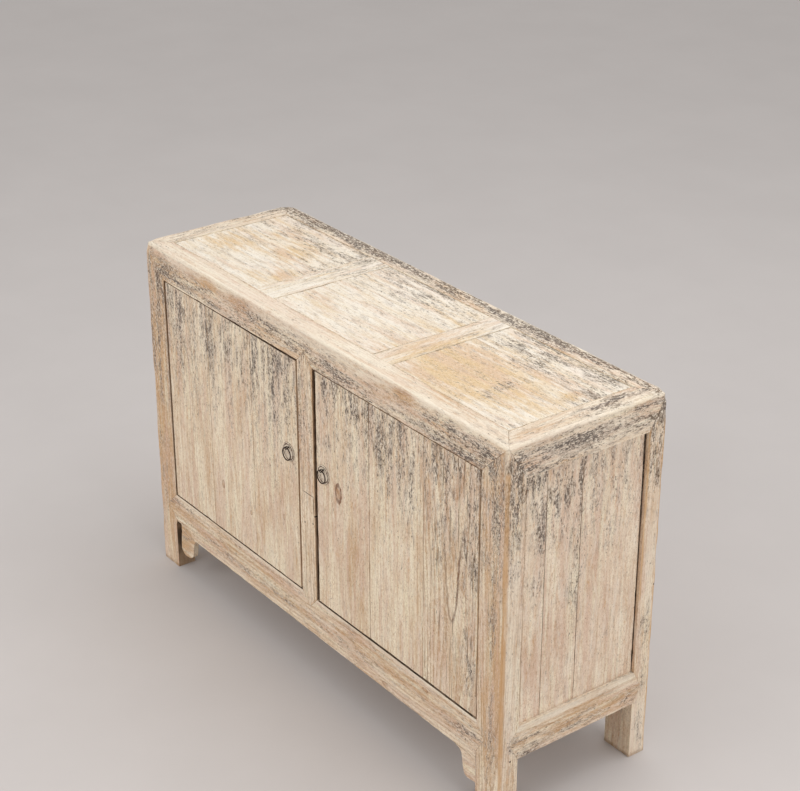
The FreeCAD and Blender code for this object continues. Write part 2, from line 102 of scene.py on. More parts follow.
# %% A short way to write node trees
class Recipe:
    """The node tree of a material or a world, with a call for each kind of step."""

    def __init__(self, owner):
        owner.use_nodes = True
        self.owner = owner
        self.tree = owner.node_tree
        self.tree.nodes.clear()

    def put(self, kind, feeds, **settings):
        made = self.tree.nodes.new(kind)
        for setting, value in settings.items():
            setattr(made, setting, value)
        for socket, value in feeds.items():
            if isinstance(value, bpy.types.NodeSocket):
                self.tree.links.new(value, made.inputs[socket])
            else:
                made.inputs[socket].default_value = value
        return made

    def painted(self, name, output="Fac"):
        return self.put("ShaderNodeAttribute", {}, attribute_name=name).outputs[output]

    def maths(self, operation, *values):
        made = self.put("ShaderNodeMath", dict(enumerate(values)), operation=operation)
        return made.outputs[0]

    def times(self, first, second):
        return self.maths("MULTIPLY", first, second)

    def times_plus(self, first, second, third):
        """The first times the second, plus the third."""
        return self.maths("MULTIPLY_ADD", first, second, third)

    def vectors(self, operation, *values):
        made = self.put("ShaderNodeVectorMath", dict(enumerate(values)), operation=operation)
        return made.outputs[0]

    def length(self, vector):
        return self.put("ShaderNodeVectorMath", {0: vector}, operation="LENGTH").outputs["Value"]

    def cloud(self, place, detail=3.0, rough=0.5):
        feeds = {"Vector": place, "Scale": 1.0, "Detail": detail, "Roughness": rough}
        return self.put("ShaderNodeTexNoise", feeds, noise_dimensions="3D").outputs[0]

    def streaks(self, place, per_metre, detail=3.0, rough=0.5, shift=None):
        """Stretched clouds: per_metre says how many fit in a metre each way, shift moves them."""
        scaled = self.vectors("MULTIPLY", place, per_metre)
        return self.cloud(self.vectors("ADD", scaled, shift) if shift else scaled, detail, rough)

    def step(self, value, low, high):
        feeds = {"Value": value, "From Min": low, "From Max": high}
        made = self.put("ShaderNodeMapRange", feeds, interpolation_type="SMOOTHSTEP")
        return made.outputs[0]

    def blend(self, amount, first, second):
        made = self.put("ShaderNodeMix", {0: amount, 6: first, 7: second}, data_type="RGBA")
        return made.outputs[2]

    def lay(self, colour, over, amount, share):
        """A colour laid over another where the amount is high, and never more than the share."""
        return self.blend(self.times(amount, share), colour, over)

    def finish(self, colour, roughness, extra, height=None, strength=0.5, deep=0.3):
        """The surface itself, with relief if a height is given; deep is in millimetres."""
        feeds = {"Base Color": colour, "Roughness": roughness, **extra}
        if height is not None:
            raised = {"Height": height, "Strength": strength, "Distance": deep * MM}
            feeds["Normal"] = self.put("ShaderNodeBump", raised).outputs[0]
        face = self.put("ShaderNodeBsdfPrincipled", feeds)
        self.put("ShaderNodeOutputMaterial", {"Surface": face.outputs[0]})
        return self.owner


def new_finish(name):
    return Recipe(bpy.data.materials.new(name))


def srgb(red, green, blue):
    """A colour as a paint chart gives it, 0 to 255, as the linear light that a shader wants."""
    light = [((c / 255 + 0.055) / 1.055) ** 2.4 for c in (red, green, blue)]
    return (*light, 1.0)


# %% [markdown]
# ## The floor, the backdrop and the light
#
# A studio shot of furniture has a plain pale floor that runs on behind the piece. One large plane
# does it, and a sky that only the camera, mirrors and glass can see gives the same pale colour
# above the horizon. The object itself is lit by an even sky and by three big soft lamps: one high up
# and a little behind, which brightens the top and throws a soft shadow forward under the doors, one
# on the right, which lifts the end of the cabinet, and one in front, which lights the doors.

# %% Lay the floor
FLOOR_HALF = 30.0

floor_mesh = bpy.data.meshes.new("floor")
floor_corners = [(-FLOOR_HALF, -FLOOR_HALF, 0), (FLOOR_HALF, -FLOOR_HALF, 0),
                 (FLOOR_HALF, FLOOR_HALF, 0), (-FLOOR_HALF, FLOOR_HALF, 0)]
floor_mesh.from_pydata(floor_corners, [], [(0, 1, 2, 3)])
floor = bpy.data.objects.new("floor", floor_mesh)
bpy.context.scene.collection.objects.link(floor)

floor_finish = new_finish("pale floor")
where = floor_finish.put("ShaderNodeTexCoord", {}).outputs["Object"]
mottle = floor_finish.streaks(where, (3, 3, 3), 4.0, 0.6)
pale = floor_finish.blend(mottle, srgb(196, 191, 189), srgb(204, 199, 197))
floor_mesh.materials.append(floor_finish.finish(pale, 0.95, {"Specular IOR Level": 0.1}))
print("floor laid,", 2 * FLOOR_HALF, "m across")

# %% Light it softly
SKY_LIGHT = 0.70
BACKDROP = srgb(205, 200, 198)

studio = bpy.data.worlds.new("studio")
bpy.context.scene.world = studio
sky = Recipe(studio)
ray = sky.put("ShaderNodeLightPath", {}).outputs
seen = sky.maths("MAXIMUM", ray["Is Camera Ray"], ray["Is Glossy Ray"])
seen = sky.maths("MAXIMUM", seen, ray["Is Transmission Ray"])
soft_sky = sky.put("ShaderNodeBackground", {"Color": (1.0, 0.985, 0.97, 1.0), "Strength": SKY_LIGHT})
backdrop = sky.put("ShaderNodeBackground", {"Color": BACKDROP})
shown = sky.put("ShaderNodeMixShader", {0: seen, 1: soft_sky.outputs[0], 2: backdrop.outputs[0]})
sky.put("ShaderNodeOutputWorld", {"Surface": shown.outputs[0]})


def soft_lamp(name, place, aim, size, power):
    """A square soft box that hangs at place and faces aim."""
    box = bpy.data.lights.new(name, "AREA")
    box.shape = "SQUARE"
    box.size = size
    box.energy = power
    lamp = bpy.data.objects.new(name, box)
    bpy.context.scene.collection.objects.link(lamp)
    lamp.location = place
    lamp.rotation_euler = (Vector(aim) - Vector(place)).to_track_quat("-Z", "Y").to_euler()


soft_lamp("lamp above", (0.6, 0.9, 3.2), (0.0, 0.0, 0.4), 2.4, 33)
soft_lamp("lamp right", (3.4, 0.2, 1.9), (0.3, 0.0, 0.4), 2.0, 24.5)
soft_lamp("lamp front", (-0.8, -3.8, 2.4), (0.0, 0.0, 0.4), 2.6, 57)
bpy.context.scene.view_settings.view_transform = "Standard"
print("sky", SKY_LIGHT, "and three soft lamps")

# %% [markdown]
# ## How wood is drawn
#
# Every board is cut from a log, so its figure is a set of rings round a heart line. If each piece
# knows where it lay in its log, one rule draws all of its faces rightly, even round a corner: long
# arches on a wide face, straight lines on a narrow one, curved rings on an end. So each piece
# carries its own grain place: how far along the log a point lies, and how far across and deep from
# the heart. It is stored on the mesh, so it stays with a door when the door swings.

# %% Where each piece lay in its log
UPRIGHT = ("leg_", "stile_", "side_board_", "back_board_", "door_left_board_", "door_right_board_")
FRONT_TO_BACK = ("top_rail_left", "top_rail_right", "top_crossrail_", "base_rail_left",
                 "base_rail_right", "floor_bearer_")


def grain_way(node):
    """The axis that a piece's fibres follow: 0 along the front, 1 front to back, 2 upright."""
    if node.startswith(UPRIGHT):
        return 2
    return 1 if node.startswith(FRONT_TO_BACK) else 0


def drawn_lot(node, turn_number):
    """A number from 0 to 1 that is always the same for the same piece and turn."""
    lot = sum((place + 3) * ord(letter) for place, letter in enumerate(node))
    return (math.sin(lot * 12.9898 + turn_number * 78.233) * 43758.5453) % 1.0


# The one board whose figure the real cabinet shows plainly: where the heart lies, across and deep
# from the board's middle in millimetres, and whether its arches point up (1) or down (-1).
KNOWN_HEARTS = {"door_right_board_outer": (7, 62, -1)}


def heart_of(node):
    """Where the log's heart passes the piece, across and deep from its middle, and its top end."""
    if node in KNOWN_HEARTS:
        across, deep, points_up = KNOWN_HEARTS[node]
        return across * MM, deep * MM, points_up
    across = (drawn_lot(node, 1) - 0.5) * 0.16
    deep = (0.035 + 0.09 * drawn_lot(node, 2)) * (1 if drawn_lot(node, 3) > 0.5 else -1)
    return across, deep, 1 if drawn_lot(node, 5) > 0.5 else -1


def grain_frame(node):
    """The order of axes, along, across and deep, the point they start from, and which end is up."""
    low, high = boxes[node]
    way = grain_way(node)
    across, deep = [axis for axis in (0, 1, 2) if axis != way]
    if high[across] - low[across] < high[deep] - low[deep]:
        across, deep = deep, across
    off_across, off_deep, points_up = heart_of(node)
    start = [0.0, 0.0, 0.0]
    start[way] = -3.0 * drawn_lot(node, 4)
    start[across] = (low[across] + high[across]) / 2 + off_across
    start[deep] = (low[deep] + high[deep]) / 2 + off_deep
    return [way, across, deep], np.array(start), np.array([points_up, 1.0, 1.0])


def grain_place(node, points):
    """Points of a piece, as (along, across, deep) in metres from its log's heart."""
    order, start, ends = grain_frame(node)
    return (np.array(points) - start)[..., order] * ends


def on_body(node, x, y, z):
    """A place on the wooden body, in millimetres, as a grain place of the piece."""
    return tuple(grain_place(node, [x * MM, (y + DEPTH_SHIFT) * MM, z * MM]))


print("heart of a door board:", [round(x, 3) for x in heart_of("door_left_board_middle")])

# %% [markdown]
# ## The bleached wood
#
# Seen close, the finish has many layers. The body is cream to tan, with pinkish clouds. Growth
# rings and fine fibres run through it. Lime has stayed in the softer wood as a chalky bloom. The old
# dark paint is left as specks and short streaks, thick under the top and thin lower down. Handled
# corners are rubbed to a warm orange tan, some edges are worn pale and carry a painted highlight,
# and dirt has settled brown in every joint, with painted shade added in the gaps and on the front
# feet. Each of these is one step of the recipe below, the wood's own layers in the order that they
# came to it. Where each layer is strong is painted on the meshes later, as values named grey, tan,
# lime, scrubbed, rubbed, seam and figure, and one for the pale edges with their painted highlight.
# A few marks have a place of their own: knots, nail holes, a scratch, and one arch of the grain that
# is dark enough to be seen from afar.

# %% Knots
FACE, END = -HALF_DEPTH, HALF_LENGTH    # y of the body's front, x of its right end

# (piece, place on the body, length, width), in millimetres.
FRAME_KNOTS = [("leg_front_left", (-505, FACE, 700), 24, 9),
               ("base_rail_front", (359, FACE, 162), 9, 4),
               ("base_rail_front", (-325, FACE, 150), 7, 4)]
DOOR_KNOTS = [("door_right_board_inner", (97, FACE, 446), 21, 11),
              ("door_left_board_outer", (-397, FACE, 551), 7, 4),
              ("door_left_board_middle", (-307, FACE, 291), 10, 5),
              ("door_left_board_middle", (-206, FACE, 270), 6, 4)]
THROUGH = 1000.0    # longer than any piece is thick, so that a knot or hole goes right through
BROAD = 9           # a knot this wide is as dark as a knot gets


def far_from(r, place, centre, half_sizes):
    """How far each point is from the centre, counted in half sizes, which are in millimetres."""
    away = r.vectors("SUBTRACT", place, centre)
    return r.length(r.vectors("DIVIDE", away, tuple(size * MM for size in half_sizes)))


def add_knots(r, place, knots):
    """How strongly each point lies in a knot or on its bark, and how the rings bend aside."""
    eye, bark, bend = 0.0, 0.0, 0.0
    for node, point, length, width in knots:
        strength = min(1.0, width / BROAD)
        far = far_from(r, place, on_body(node, *point), (length, width, THROUGH))
        ragged = r.times_plus(r.streaks(place, (90, 220, 220)), 0.5, far)
        inside = r.step(ragged, 1.35, 1.15)
        eye = r.maths("MAXIMUM", r.times(inside, strength), eye)
        outer = r.times(r.step(ragged, 0.70, 0.95), strength)
        bark = r.maths("MAXIMUM", r.times(inside, outer), bark)
        pull = r.maths("EXPONENT", r.times(r.maths("POWER", far, 2.0), -0.22))
        bend = r.times_plus(pull, width * 1.6 * MM, bend)
    return eye, bark, bend


# %% The dark arch
# The tip of the one dark arch on the right leaf, and how steeply its arms rise: up is the square of
# aside, in metres, times this number.
ARCH = ("door_right_board_outer", (431, FACE, 344))
ARCH_STEEPNESS = 292.0


def dark_arch(r, place, node, point):
    """How strongly each point lies on the arch that opens upward from the tip, right arm stronger."""
    away = r.vectors("SUBTRACT", place, on_body(node, *point))
    parts = r.put("ShaderNodeSeparateXYZ", {0: r.vectors("MULTIPLY", away, (heart_of(node)[2], 1, 1))})
    sway = r.streaks(place, (22, 40, 40), 3.0, 0.6)
    up, aside = parts.outputs[0], r.times_plus(sway, 12 * MM, parts.outputs[1])
    aside = r.maths("SUBTRACT", aside, 6 * MM)
    off = r.times_plus(r.maths("POWER", aside, 2.0), -ARCH_STEEPNESS, up)
    # Divided by the slope's length, the height off the curve becomes the distance from it.
    slope_squared = r.times_plus(r.maths("POWER", aside, 2.0), 4 * ARCH_STEEPNESS ** 2, 1.0)
    off = r.maths("ABSOLUTE", r.maths("DIVIDE", off, r.maths("SQRT", slope_squared)))
    arm = r.times_plus(r.step(aside, -2 * MM, 3 * MM), 0.42, 0.48)
    on_line = r.times(r.step(off, 4.0 * MM, 1.2 * MM), arm)
    return r.times(on_line, r.step(up, 200 * MM, 120 * MM))


# %% Nail holes and a scratch
# (piece, place on the body, half height, half width), in millimetres. The two long thin ones are
# the strokes of one scratch.
MARKS = [("stile_front", (-14, FACE, 337), 1.9, 1.7), ("stile_front", (13, FACE, 345), 1.7, 1.6),
         ("stile_front", (19, FACE, 363), 1.7, 1.6), ("stile_front", (-1, FACE, 403), 0.7, 18),
         ("stile_front", (16, FACE, 385), 18, 0.7), ("leg_front_right", (END, -152, 120), 2.2, 1.6),
         ("leg_rear_right", (END, 171, 359), 1.9, 1.9)]


def add_marks(r, place, marks):
    """How strongly each point lies in one of the small dark marks."""
    dark = 0.0
    for node, point, half_height, half_width in marks:
        in_front = point[1] == FACE
        sides = (half_width, THROUGH) if in_front else (THROUGH, half_width)
        far = far_from(r, place, on_body(node, *point), (half_height, *sides))
        dark = r.maths("MAXIMUM", r.step(far, 1.25, 0.75), dark)
    return dark


# %% Growth rings
RING_SPACING = 5.5      # from one dark ring to the next, in millimetres


def growth_rings(r, place, bend):
    """Rings from 0 in the early wood to 1 at the dark late wood, round the log's heart line."""
    drift = r.times(r.maths("SUBTRACT", r.streaks(place, (1.4, 9.0, 9.0), 2.0), 0.5), 0.05)
    round_heart = r.length(r.vectors("MULTIPLY", place, (0.0, 1.0, 1.0)))
    along = r.put("ShaderNodeSeparateXYZ", {0: place}).outputs[0]
    radius = r.times_plus(along, 0.018, round_heart)
    radius = r.maths("ADD", r.maths("ADD", radius, drift), bend)
    saw = r.maths("FRACT", r.maths("DIVIDE", radius, RING_SPACING * MM))
    return r.times(r.step(saw, 0.35, 0.92), r.step(saw, 1.0, 0.93))


# %% The wood's own colour
SCRUBBED = srgb(234, 224, 207)


def warm_wood(r, place, body, warm, streaky, glow):
    """The wood's own colour: cream to tan, with pinkish, yellowish and orange clouds."""
    tan = r.painted("tan")
    streak = r.streaks(place, (6, 120, 120), 4.0, 0.7)
    patch = r.streaks(place, (6, 26, 26), 4.0, 0.6)
    blush = r.streaks(place, (5, 34, 34), 3.0, shift=(7.3, 1.1, 4.2))
    ember = r.streaks(place, (40, 150, 150), 4.0, 0.75, shift=(3.1, 8.4, 2.2))
    body = r.blend(r.painted("scrubbed"), body, SCRUBBED)
    stained = r.times_plus(r.times(tan, streak), 1.3, r.times(tan, 0.35))
    warmth = r.maths("ADD", patch, stained)
    warmth = r.times_plus(r.maths("SUBTRACT", streak, 0.5), streaky, warmth)
    soft = 0.11 + 0.135 * streaky
    colour = r.blend(r.step(warmth, 0.58 - soft, 0.58 + soft), body, warm)
    colour = r.lay(colour, srgb(216, 186, 168), r.step(blush, 0.47, 0.60), 0.50)
    colour = r.lay(colour, srgb(230, 220, 190), r.step(streak, 0.50, 0.38), 0.45 * streaky)
    return r.lay(colour, srgb(206, 154, 98), r.step(ember, 0.55, 0.70), glow)


def figured(r, place, colour, rings, late_wood, ring_share, arch):
    """Rings, fibres and grit laid over the wood's colour, and the dark arch if the board has one."""
    figure = r.painted("figure")
    fibre = r.streaks(place, (110, 520, 520), 3.0, 0.75)
    mottle = r.streaks(place, (110, 200, 200), 3.0, 0.8)
    grit = r.streaks(place, (300, 420, 420), 2.0, 0.8)
    broken = r.times(rings, r.step(mottle, 0.25, 0.6))
    colour = r.lay(colour, late_wood, r.times(broken, figure), ring_share)
    thread = r.times_plus(figure, 0.20, 0.22)
    colour = r.lay(colour, late_wood, r.step(fibre, 0.48, 0.72), thread)
    colour = r.lay(colour, late_wood, r.step(mottle, 0.50, 0.68), 0.34)
    colour = r.lay(colour, srgb(168, 140, 110), r.step(grit, 0.48, 0.66), 0.30)
    colour = r.lay(colour, srgb(128, 98, 70), r.step(grit, 0.62, 0.72), 0.50)
    if arch:
        colour = r.lay(colour, srgb(116, 80, 54), dark_arch(r, place, *arch), r.step(mottle, 0.22, 0.42))
    return colour, fibre


# %% Lime over the wood
LIME = srgb(240, 229, 212)


def limed(r, place, colour, lime, share):
    """Chalky bloom in the soft wood, as cloudy streaks."""
    cloudy = r.streaks(place, (12, 80, 80), 5.0, 0.7)
    grainy = r.streaks(place, (90, 330, 330), 2.0, 0.7)
    bloom = r.times_plus(grainy, 0.35, cloudy)
    bloom = r.times_plus(r.painted("lime"), 0.35, bloom)
    bloom = r.times_plus(r.painted("scrubbed"), 0.10, bloom)
    bloom = r.times_plus(r.painted("tan"), -0.35, bloom)
    return r.lay(colour, lime, r.step(bloom, 0.62, 0.92), share)


# %% What is left of the dark paint
def old_paint_left(r, place, colour, rings, paint, share):
    """A thin grey haze, ragged specks where the paint was thick, and pale threads between them."""
    column = r.streaks(place, (5, 48, 48), 4.0, 0.65)
    clump = r.streaks(place, (28, 100, 100), 4.0, 0.7)
    uneven = r.maths("ADD", r.times_plus(column, 3.2, -1.98), r.times(clump, 2.4))
    cover = r.times(r.painted("grey"), uneven)
    cover = r.maths("MINIMUM", r.maths("MAXIMUM", cover, 0.0), 1.15)
    haze = r.step(r.times_plus(cover, 0.36, clump), 0.57, 0.92)
    colour = r.lay(colour, srgb(156, 142, 131), haze, 0.66 * share)

    thread = r.streaks(place, (140, 480, 480), 2.0, 0.7)
    pale = r.times(r.step(thread, 0.51, 0.63), r.times_plus(cover, 0.65, 0.15))
    colour = r.blend(pale, colour, LIME)
    ragged = r.streaks(place, (220, 340, 340), 3.0, 0.8)
    speck = r.streaks(place, (90, 200, 200), 3.0, 0.75)
    speck = r.times_plus(ragged, 0.75, r.times(speck, 0.55))
    speck = r.times_plus(thread, -0.35, r.maths("ADD", speck, 0.025))
    speck = r.times_plus(rings, -0.03, speck)
    line = r.times_plus(cover, -0.20, 0.672)
    above = r.maths("SUBTRACT", speck, line)
    left = r.times(r.step(above, -0.035, 0.045), 0.5)
    left = r.times_plus(r.step(above, 0.015, 0.10), 0.5, left)
    left = r.times(left, share)
    hue = r.blend(r.step(column, 0.40, 0.62), srgb(100, 84, 66), paint)
    return r.blend(left, colour, hue), left


# %% Rubbed corners, dirty joints, painted highlights and painted shade
def handled(r, place, colour):
    """Warm bare wood on the corners, pale worn edges with a painted highlight, brown in the joints, painted
    shade in the gaps.
    """
    rub_cloud = r.streaks(place, (16, 50, 50), 4.0, 0.65)
    rub = r.step(r.times_plus(r.painted("rubbed"), 0.60, rub_cloud), 0.72, 1.22)
    colour = r.lay(colour, srgb(200, 158, 112), rub, 0.78)
    fine = r.streaks(place, (70, 190, 190), 4.0, 0.8)
    # Pale worn edges, with a painted highlight where rounded arrises catch light.
    polish_highlight_mask = r.times_plus(r.painted("polish_and_highlight"), 0.75, r.times_plus(fine, 1.3, rub_cloud))
    colour = r.lay(colour, srgb(240, 230, 212), r.step(polish_highlight_mask, 1.36, 2.02), 0.52)
    # Brown, then near-black, as the seam value rises: dirt in closed joints, dirt with painted shade in
    # gaps, and painted shade on the front feet's inner sides.
    seam = r.painted("seam")
    colour = r.lay(colour, srgb(138, 104, 72), r.step(seam, 0.10, 0.55), 0.76)
    return r.lay(colour, srgb(64, 52, 40), r.step(seam, 0.50, 0.95), 0.84)


# %% Put the layers together
PAINT = srgb(96, 87, 81)


def bleached_wood(name, body, warm, late_wood, ring_share, lime_share, lime=LIME, paint=PAINT,
                  paint_share=0.90, knots=(), arch=None, marks=(), streaky=1.1, glow=0.48):
    """The whole finish: wood, lime, rests of dark paint, rubbed corners, dirty joints, and painted
    highlights and shade.
    """
    r = new_finish(name)
    place = r.painted("grain", "Vector")
    eye, bark, bend = add_knots(r, place, knots)
    rings = growth_rings(r, place, bend)
    colour = warm_wood(r, place, body, warm, streaky, glow)
    colour, fibre = figured(r, place, colour, rings, late_wood, ring_share, arch)
    colour = r.lay(colour, srgb(172, 128, 92), eye, 0.85)
    colour = r.lay(colour, srgb(112, 74, 48), bark, 0.85)
    colour = limed(r, place, colour, lime, lime_share)
    colour, left = old_paint_left(r, place, colour, rings, paint, paint_share)
    pore = r.streaks(place, (30, 420, 420), 2.0, 0.6)
    split = r.streaks(place, (9, 230, 230), 3.0, 0.65)
    dried = r.times_plus(r.painted("figure"), 0.38, -0.30)
    cracks = r.times(r.step(split, 0.58, 0.68), dried)
    cracks = r.maths("MAXIMUM", cracks, r.times(r.step(pore, 0.68, 0.76), 0.55))
    colour = r.blend(cracks, colour, srgb(112, 90, 70))
    colour = handled(r, place, colour)
    holes = add_marks(r, place, marks)
    if marks:
        colour = r.lay(colour, srgb(44, 33, 26), holes, 0.95)

    ridge = r.streaks(place, (20, 210, 210), 3.0, 0.65)
    height = r.times_plus(rings, 0.35, r.times(ridge, 1.3))
    height = r.times_plus(fibre, 0.5, height)
    height = r.times_plus(left, 0.3, height)
    height = r.times_plus(r.maths("MAXIMUM", cracks, holes), -1.2, height)
    dull = r.times_plus(left, -0.10, 0.88)
    return r.finish(colour, dull, {"Specular IOR Level": 0.2}, height, 0.8, 0.9)


# %% Mix the five wood finishes
finishes = {
    "frame_wood": bleached_wood(
        "bleached frame wood", body=srgb(244, 228, 204), warm=srgb(206, 170, 132),
        late_wood=srgb(172, 132, 94), ring_share=0.40, lime_share=0.5, knots=FRAME_KNOTS, marks=MARKS),
    "door_wood": bleached_wood(
        "bleached door wood", body=srgb(246, 233, 208), warm=srgb(208, 178, 146),
        late_wood=srgb(180, 140, 104), ring_share=0.30, lime_share=0.45, knots=DOOR_KNOTS, arch=ARCH),
    "top_wood": bleached_wood(
        "scrubbed top wood", body=SCRUBBED, warm=srgb(222, 194, 154), late_wood=srgb(196, 168, 130),
        ring_share=0.25, lime_share=0.7, lime=srgb(240, 234, 223), paint=srgb(106, 100, 90),
        paint_share=0.85, streaky=0.45, glow=0.12),
    "panel_wood": bleached_wood(
        "bleached end wood", body=srgb(247, 232, 210), warm=srgb(212, 182, 156),
        late_wood=srgb(182, 144, 110), ring_share=0.30, lime_share=0.55, lime=srgb(234, 223, 208)),
    "inner_wood": bleached_wood(
        "bare inner wood", body=srgb(190, 158, 120), warm=srgb(168, 130, 92),
        late_wood=srgb(134, 98, 66), ring_share=0.5, lime_share=0.25, lime=srgb(206, 184, 150),
        paint=srgb(96, 80, 64), paint_share=0.45),
}
print("wood finishes:", [m.name for m in finishes.values()])

# %% [markdown]
# ## From a CAD solid to a worn timber
#
# We could model each board again by hand, but the solids already have every shoulder, mitre and
# groove in the right place. What they lack is age. So we take a copy of each solid's mesh and treat
# it as a joiner and the years would: join up its corners, ease its sharp arrises, cut it into small
# faces, find out which of those faces touch or nearly touch a neighbour, and then wear the open
# ones down a little, most of all at the corners.

# %% Bring a mesh into the scene
def linked(name, mesh, material, sharp_degrees=None):
    """An object of the mesh; smooth up to the given angle, or with flat faces if there is none."""
    if sharp_degrees is not None:
        mesh.polygons.foreach_set("use_smooth", [True] * len(mesh.polygons))
        mesh.set_sharp_from_angle(angle=math.radians(sharp_degrees))
    mesh.materials.append(material)
    made = bpy.data.objects.new(name, mesh)
    bpy.context.scene.collection.objects.link(made)
    return made


def carry_grain(mesh, places):
    """Writes the grain places, or any other places, on the mesh for its finish to read."""
    grain = mesh.attributes.new("grain", "FLOAT_VECTOR", "POINT")
    grain.data.foreach_set("vector", np.array(places).ravel())


# %% A clean copy of a solid
def whole_solid(node):
    """The solid's mesh with doubled corners joined and its flat faces in one piece."""
    timber = bmesh.new()
    timber.from_mesh(frame["nodes"][node].data)
    bmesh.ops.remove_doubles(timber, verts=timber.verts, dist=0.005 * MM)
    bmesh.ops.dissolve_limit(timber, angle_limit=math.radians(0.5), verts=timber.verts,
                             edges=timber.edges)
    return timber


# %% Ease the arrises
SHARP = math.radians(38)


def ease_arrises(timber, width):
    """Takes the sharp outward edges off, and marks the new narrow faces."""
    sharp = [edge for edge in timber.edges
             if len(edge.link_faces) == 2 and edge.is_convex and edge.calc_face_angle(0) > SHARP]
    eased = timber.faces.layers.int.new("eased")
    made = bmesh.ops.bevel(timber, geom=sharp, offset=width, offset_type="OFFSET", segments=2,
                           profile=0.6, affect="EDGES", clamp_overlap=True)
    for face in made["faces"]:
        face[eased] = 1


# %% Cut into small faces
EDGE_BAND = 2.6 * MM


def cut_small(timber, spacing):
    """Cuts straight through the piece every few millimetres, with two cuts close to each side."""
    places = np.array([vertex.co for vertex in timber.verts])
    for axis in range(3):
        low, high = places[:, axis].min() + EDGE_BAND, places[:, axis].max() - EDGE_BAND
        if high <= low:
            continue
        count = max(1, round((high - low) / spacing))
        way = Vector([1.0 if axis == other else 0.0 for other in range(3)])
        cuts = list(np.linspace(low, high, count + 1))
        if high - low > 3 * EDGE_BAND:
            cuts += [low + EDGE_BAND, high - EDGE_BAND]
        for cut in cuts:
            everything = timber.verts[:] + timber.edges[:] + timber.faces[:]
            bmesh.ops.bisect_plane(timber, geom=everything, dist=0.02 * MM,
                                   plane_co=way * float(cut), plane_no=way)


# %% [markdown]
# To know where dirt gathers, each small face looks straight out from itself. If it meets a
# neighbour at once, it is a joint. If it meets one within a few millimetres, it is the side of a
# gap. If it meets nothing, it is open to the air and to hands. The neighbours go into one search
# tree per piece, which makes thousands of looks quick.

# %% Find out which faces meet a neighbour
REACH = 11 * MM     # how far a face looks for a neighbour
SKIN = 0.3 * MM     # how far under its own surface it starts to look
TOUCH = 0.7 * MM    # a gap narrower than this is a closed joint


def near(node, other):
    low, high = boxes[node]
    other_low, other_high = boxes[other]
    return all(low[i] - REACH < other_high[i] and other_low[i] - REACH < high[i] for i in range(3))


def neighbour_tree(node):
    corners, sides = [], []
    for other in body_of:
        if other != node and near(node, other) and not other.startswith("pull_"):
            mesh = frame["nodes"][other].data
            first = len(corners)
            corners += [vertex.co.copy() for vertex in mesh.vertices]
            sides += [[first + i for i in side.vertices] for side in mesh.polygons]
    return BVHTree.FromPolygons(corners, sides)


def gaps_before(timber, node):
    """For each face, how far off the next piece is, or REACH if nothing is that near."""
    tree = neighbour_tree(node)
    gaps = []
    for face in timber.faces:
        start = face.calc_center_median() - face.normal * SKIN
        distance = tree.ray_cast(start, face.normal, REACH)[3]
        gaps.append(REACH if distance is None else max(0.0, distance - SKIN))
    return gaps


# %% [markdown]
# ## Where each layer of the finish is strong
#
# The old paint survived where nobody scrubbed: close under the top, along the back edge and on the
# upper part of both ends. Below, it fades out in uneven columns. These are facts about places on
# the cabinet, so they are written as places: a few broad slopes for each side, and a list of
# patches, each with its middle, its half sizes and its strength.

# %% Slopes and patches of old paint, warm wood and lime
LEFT, RIGHT, FRONT, BACK, BELOW, TOP = range(6)

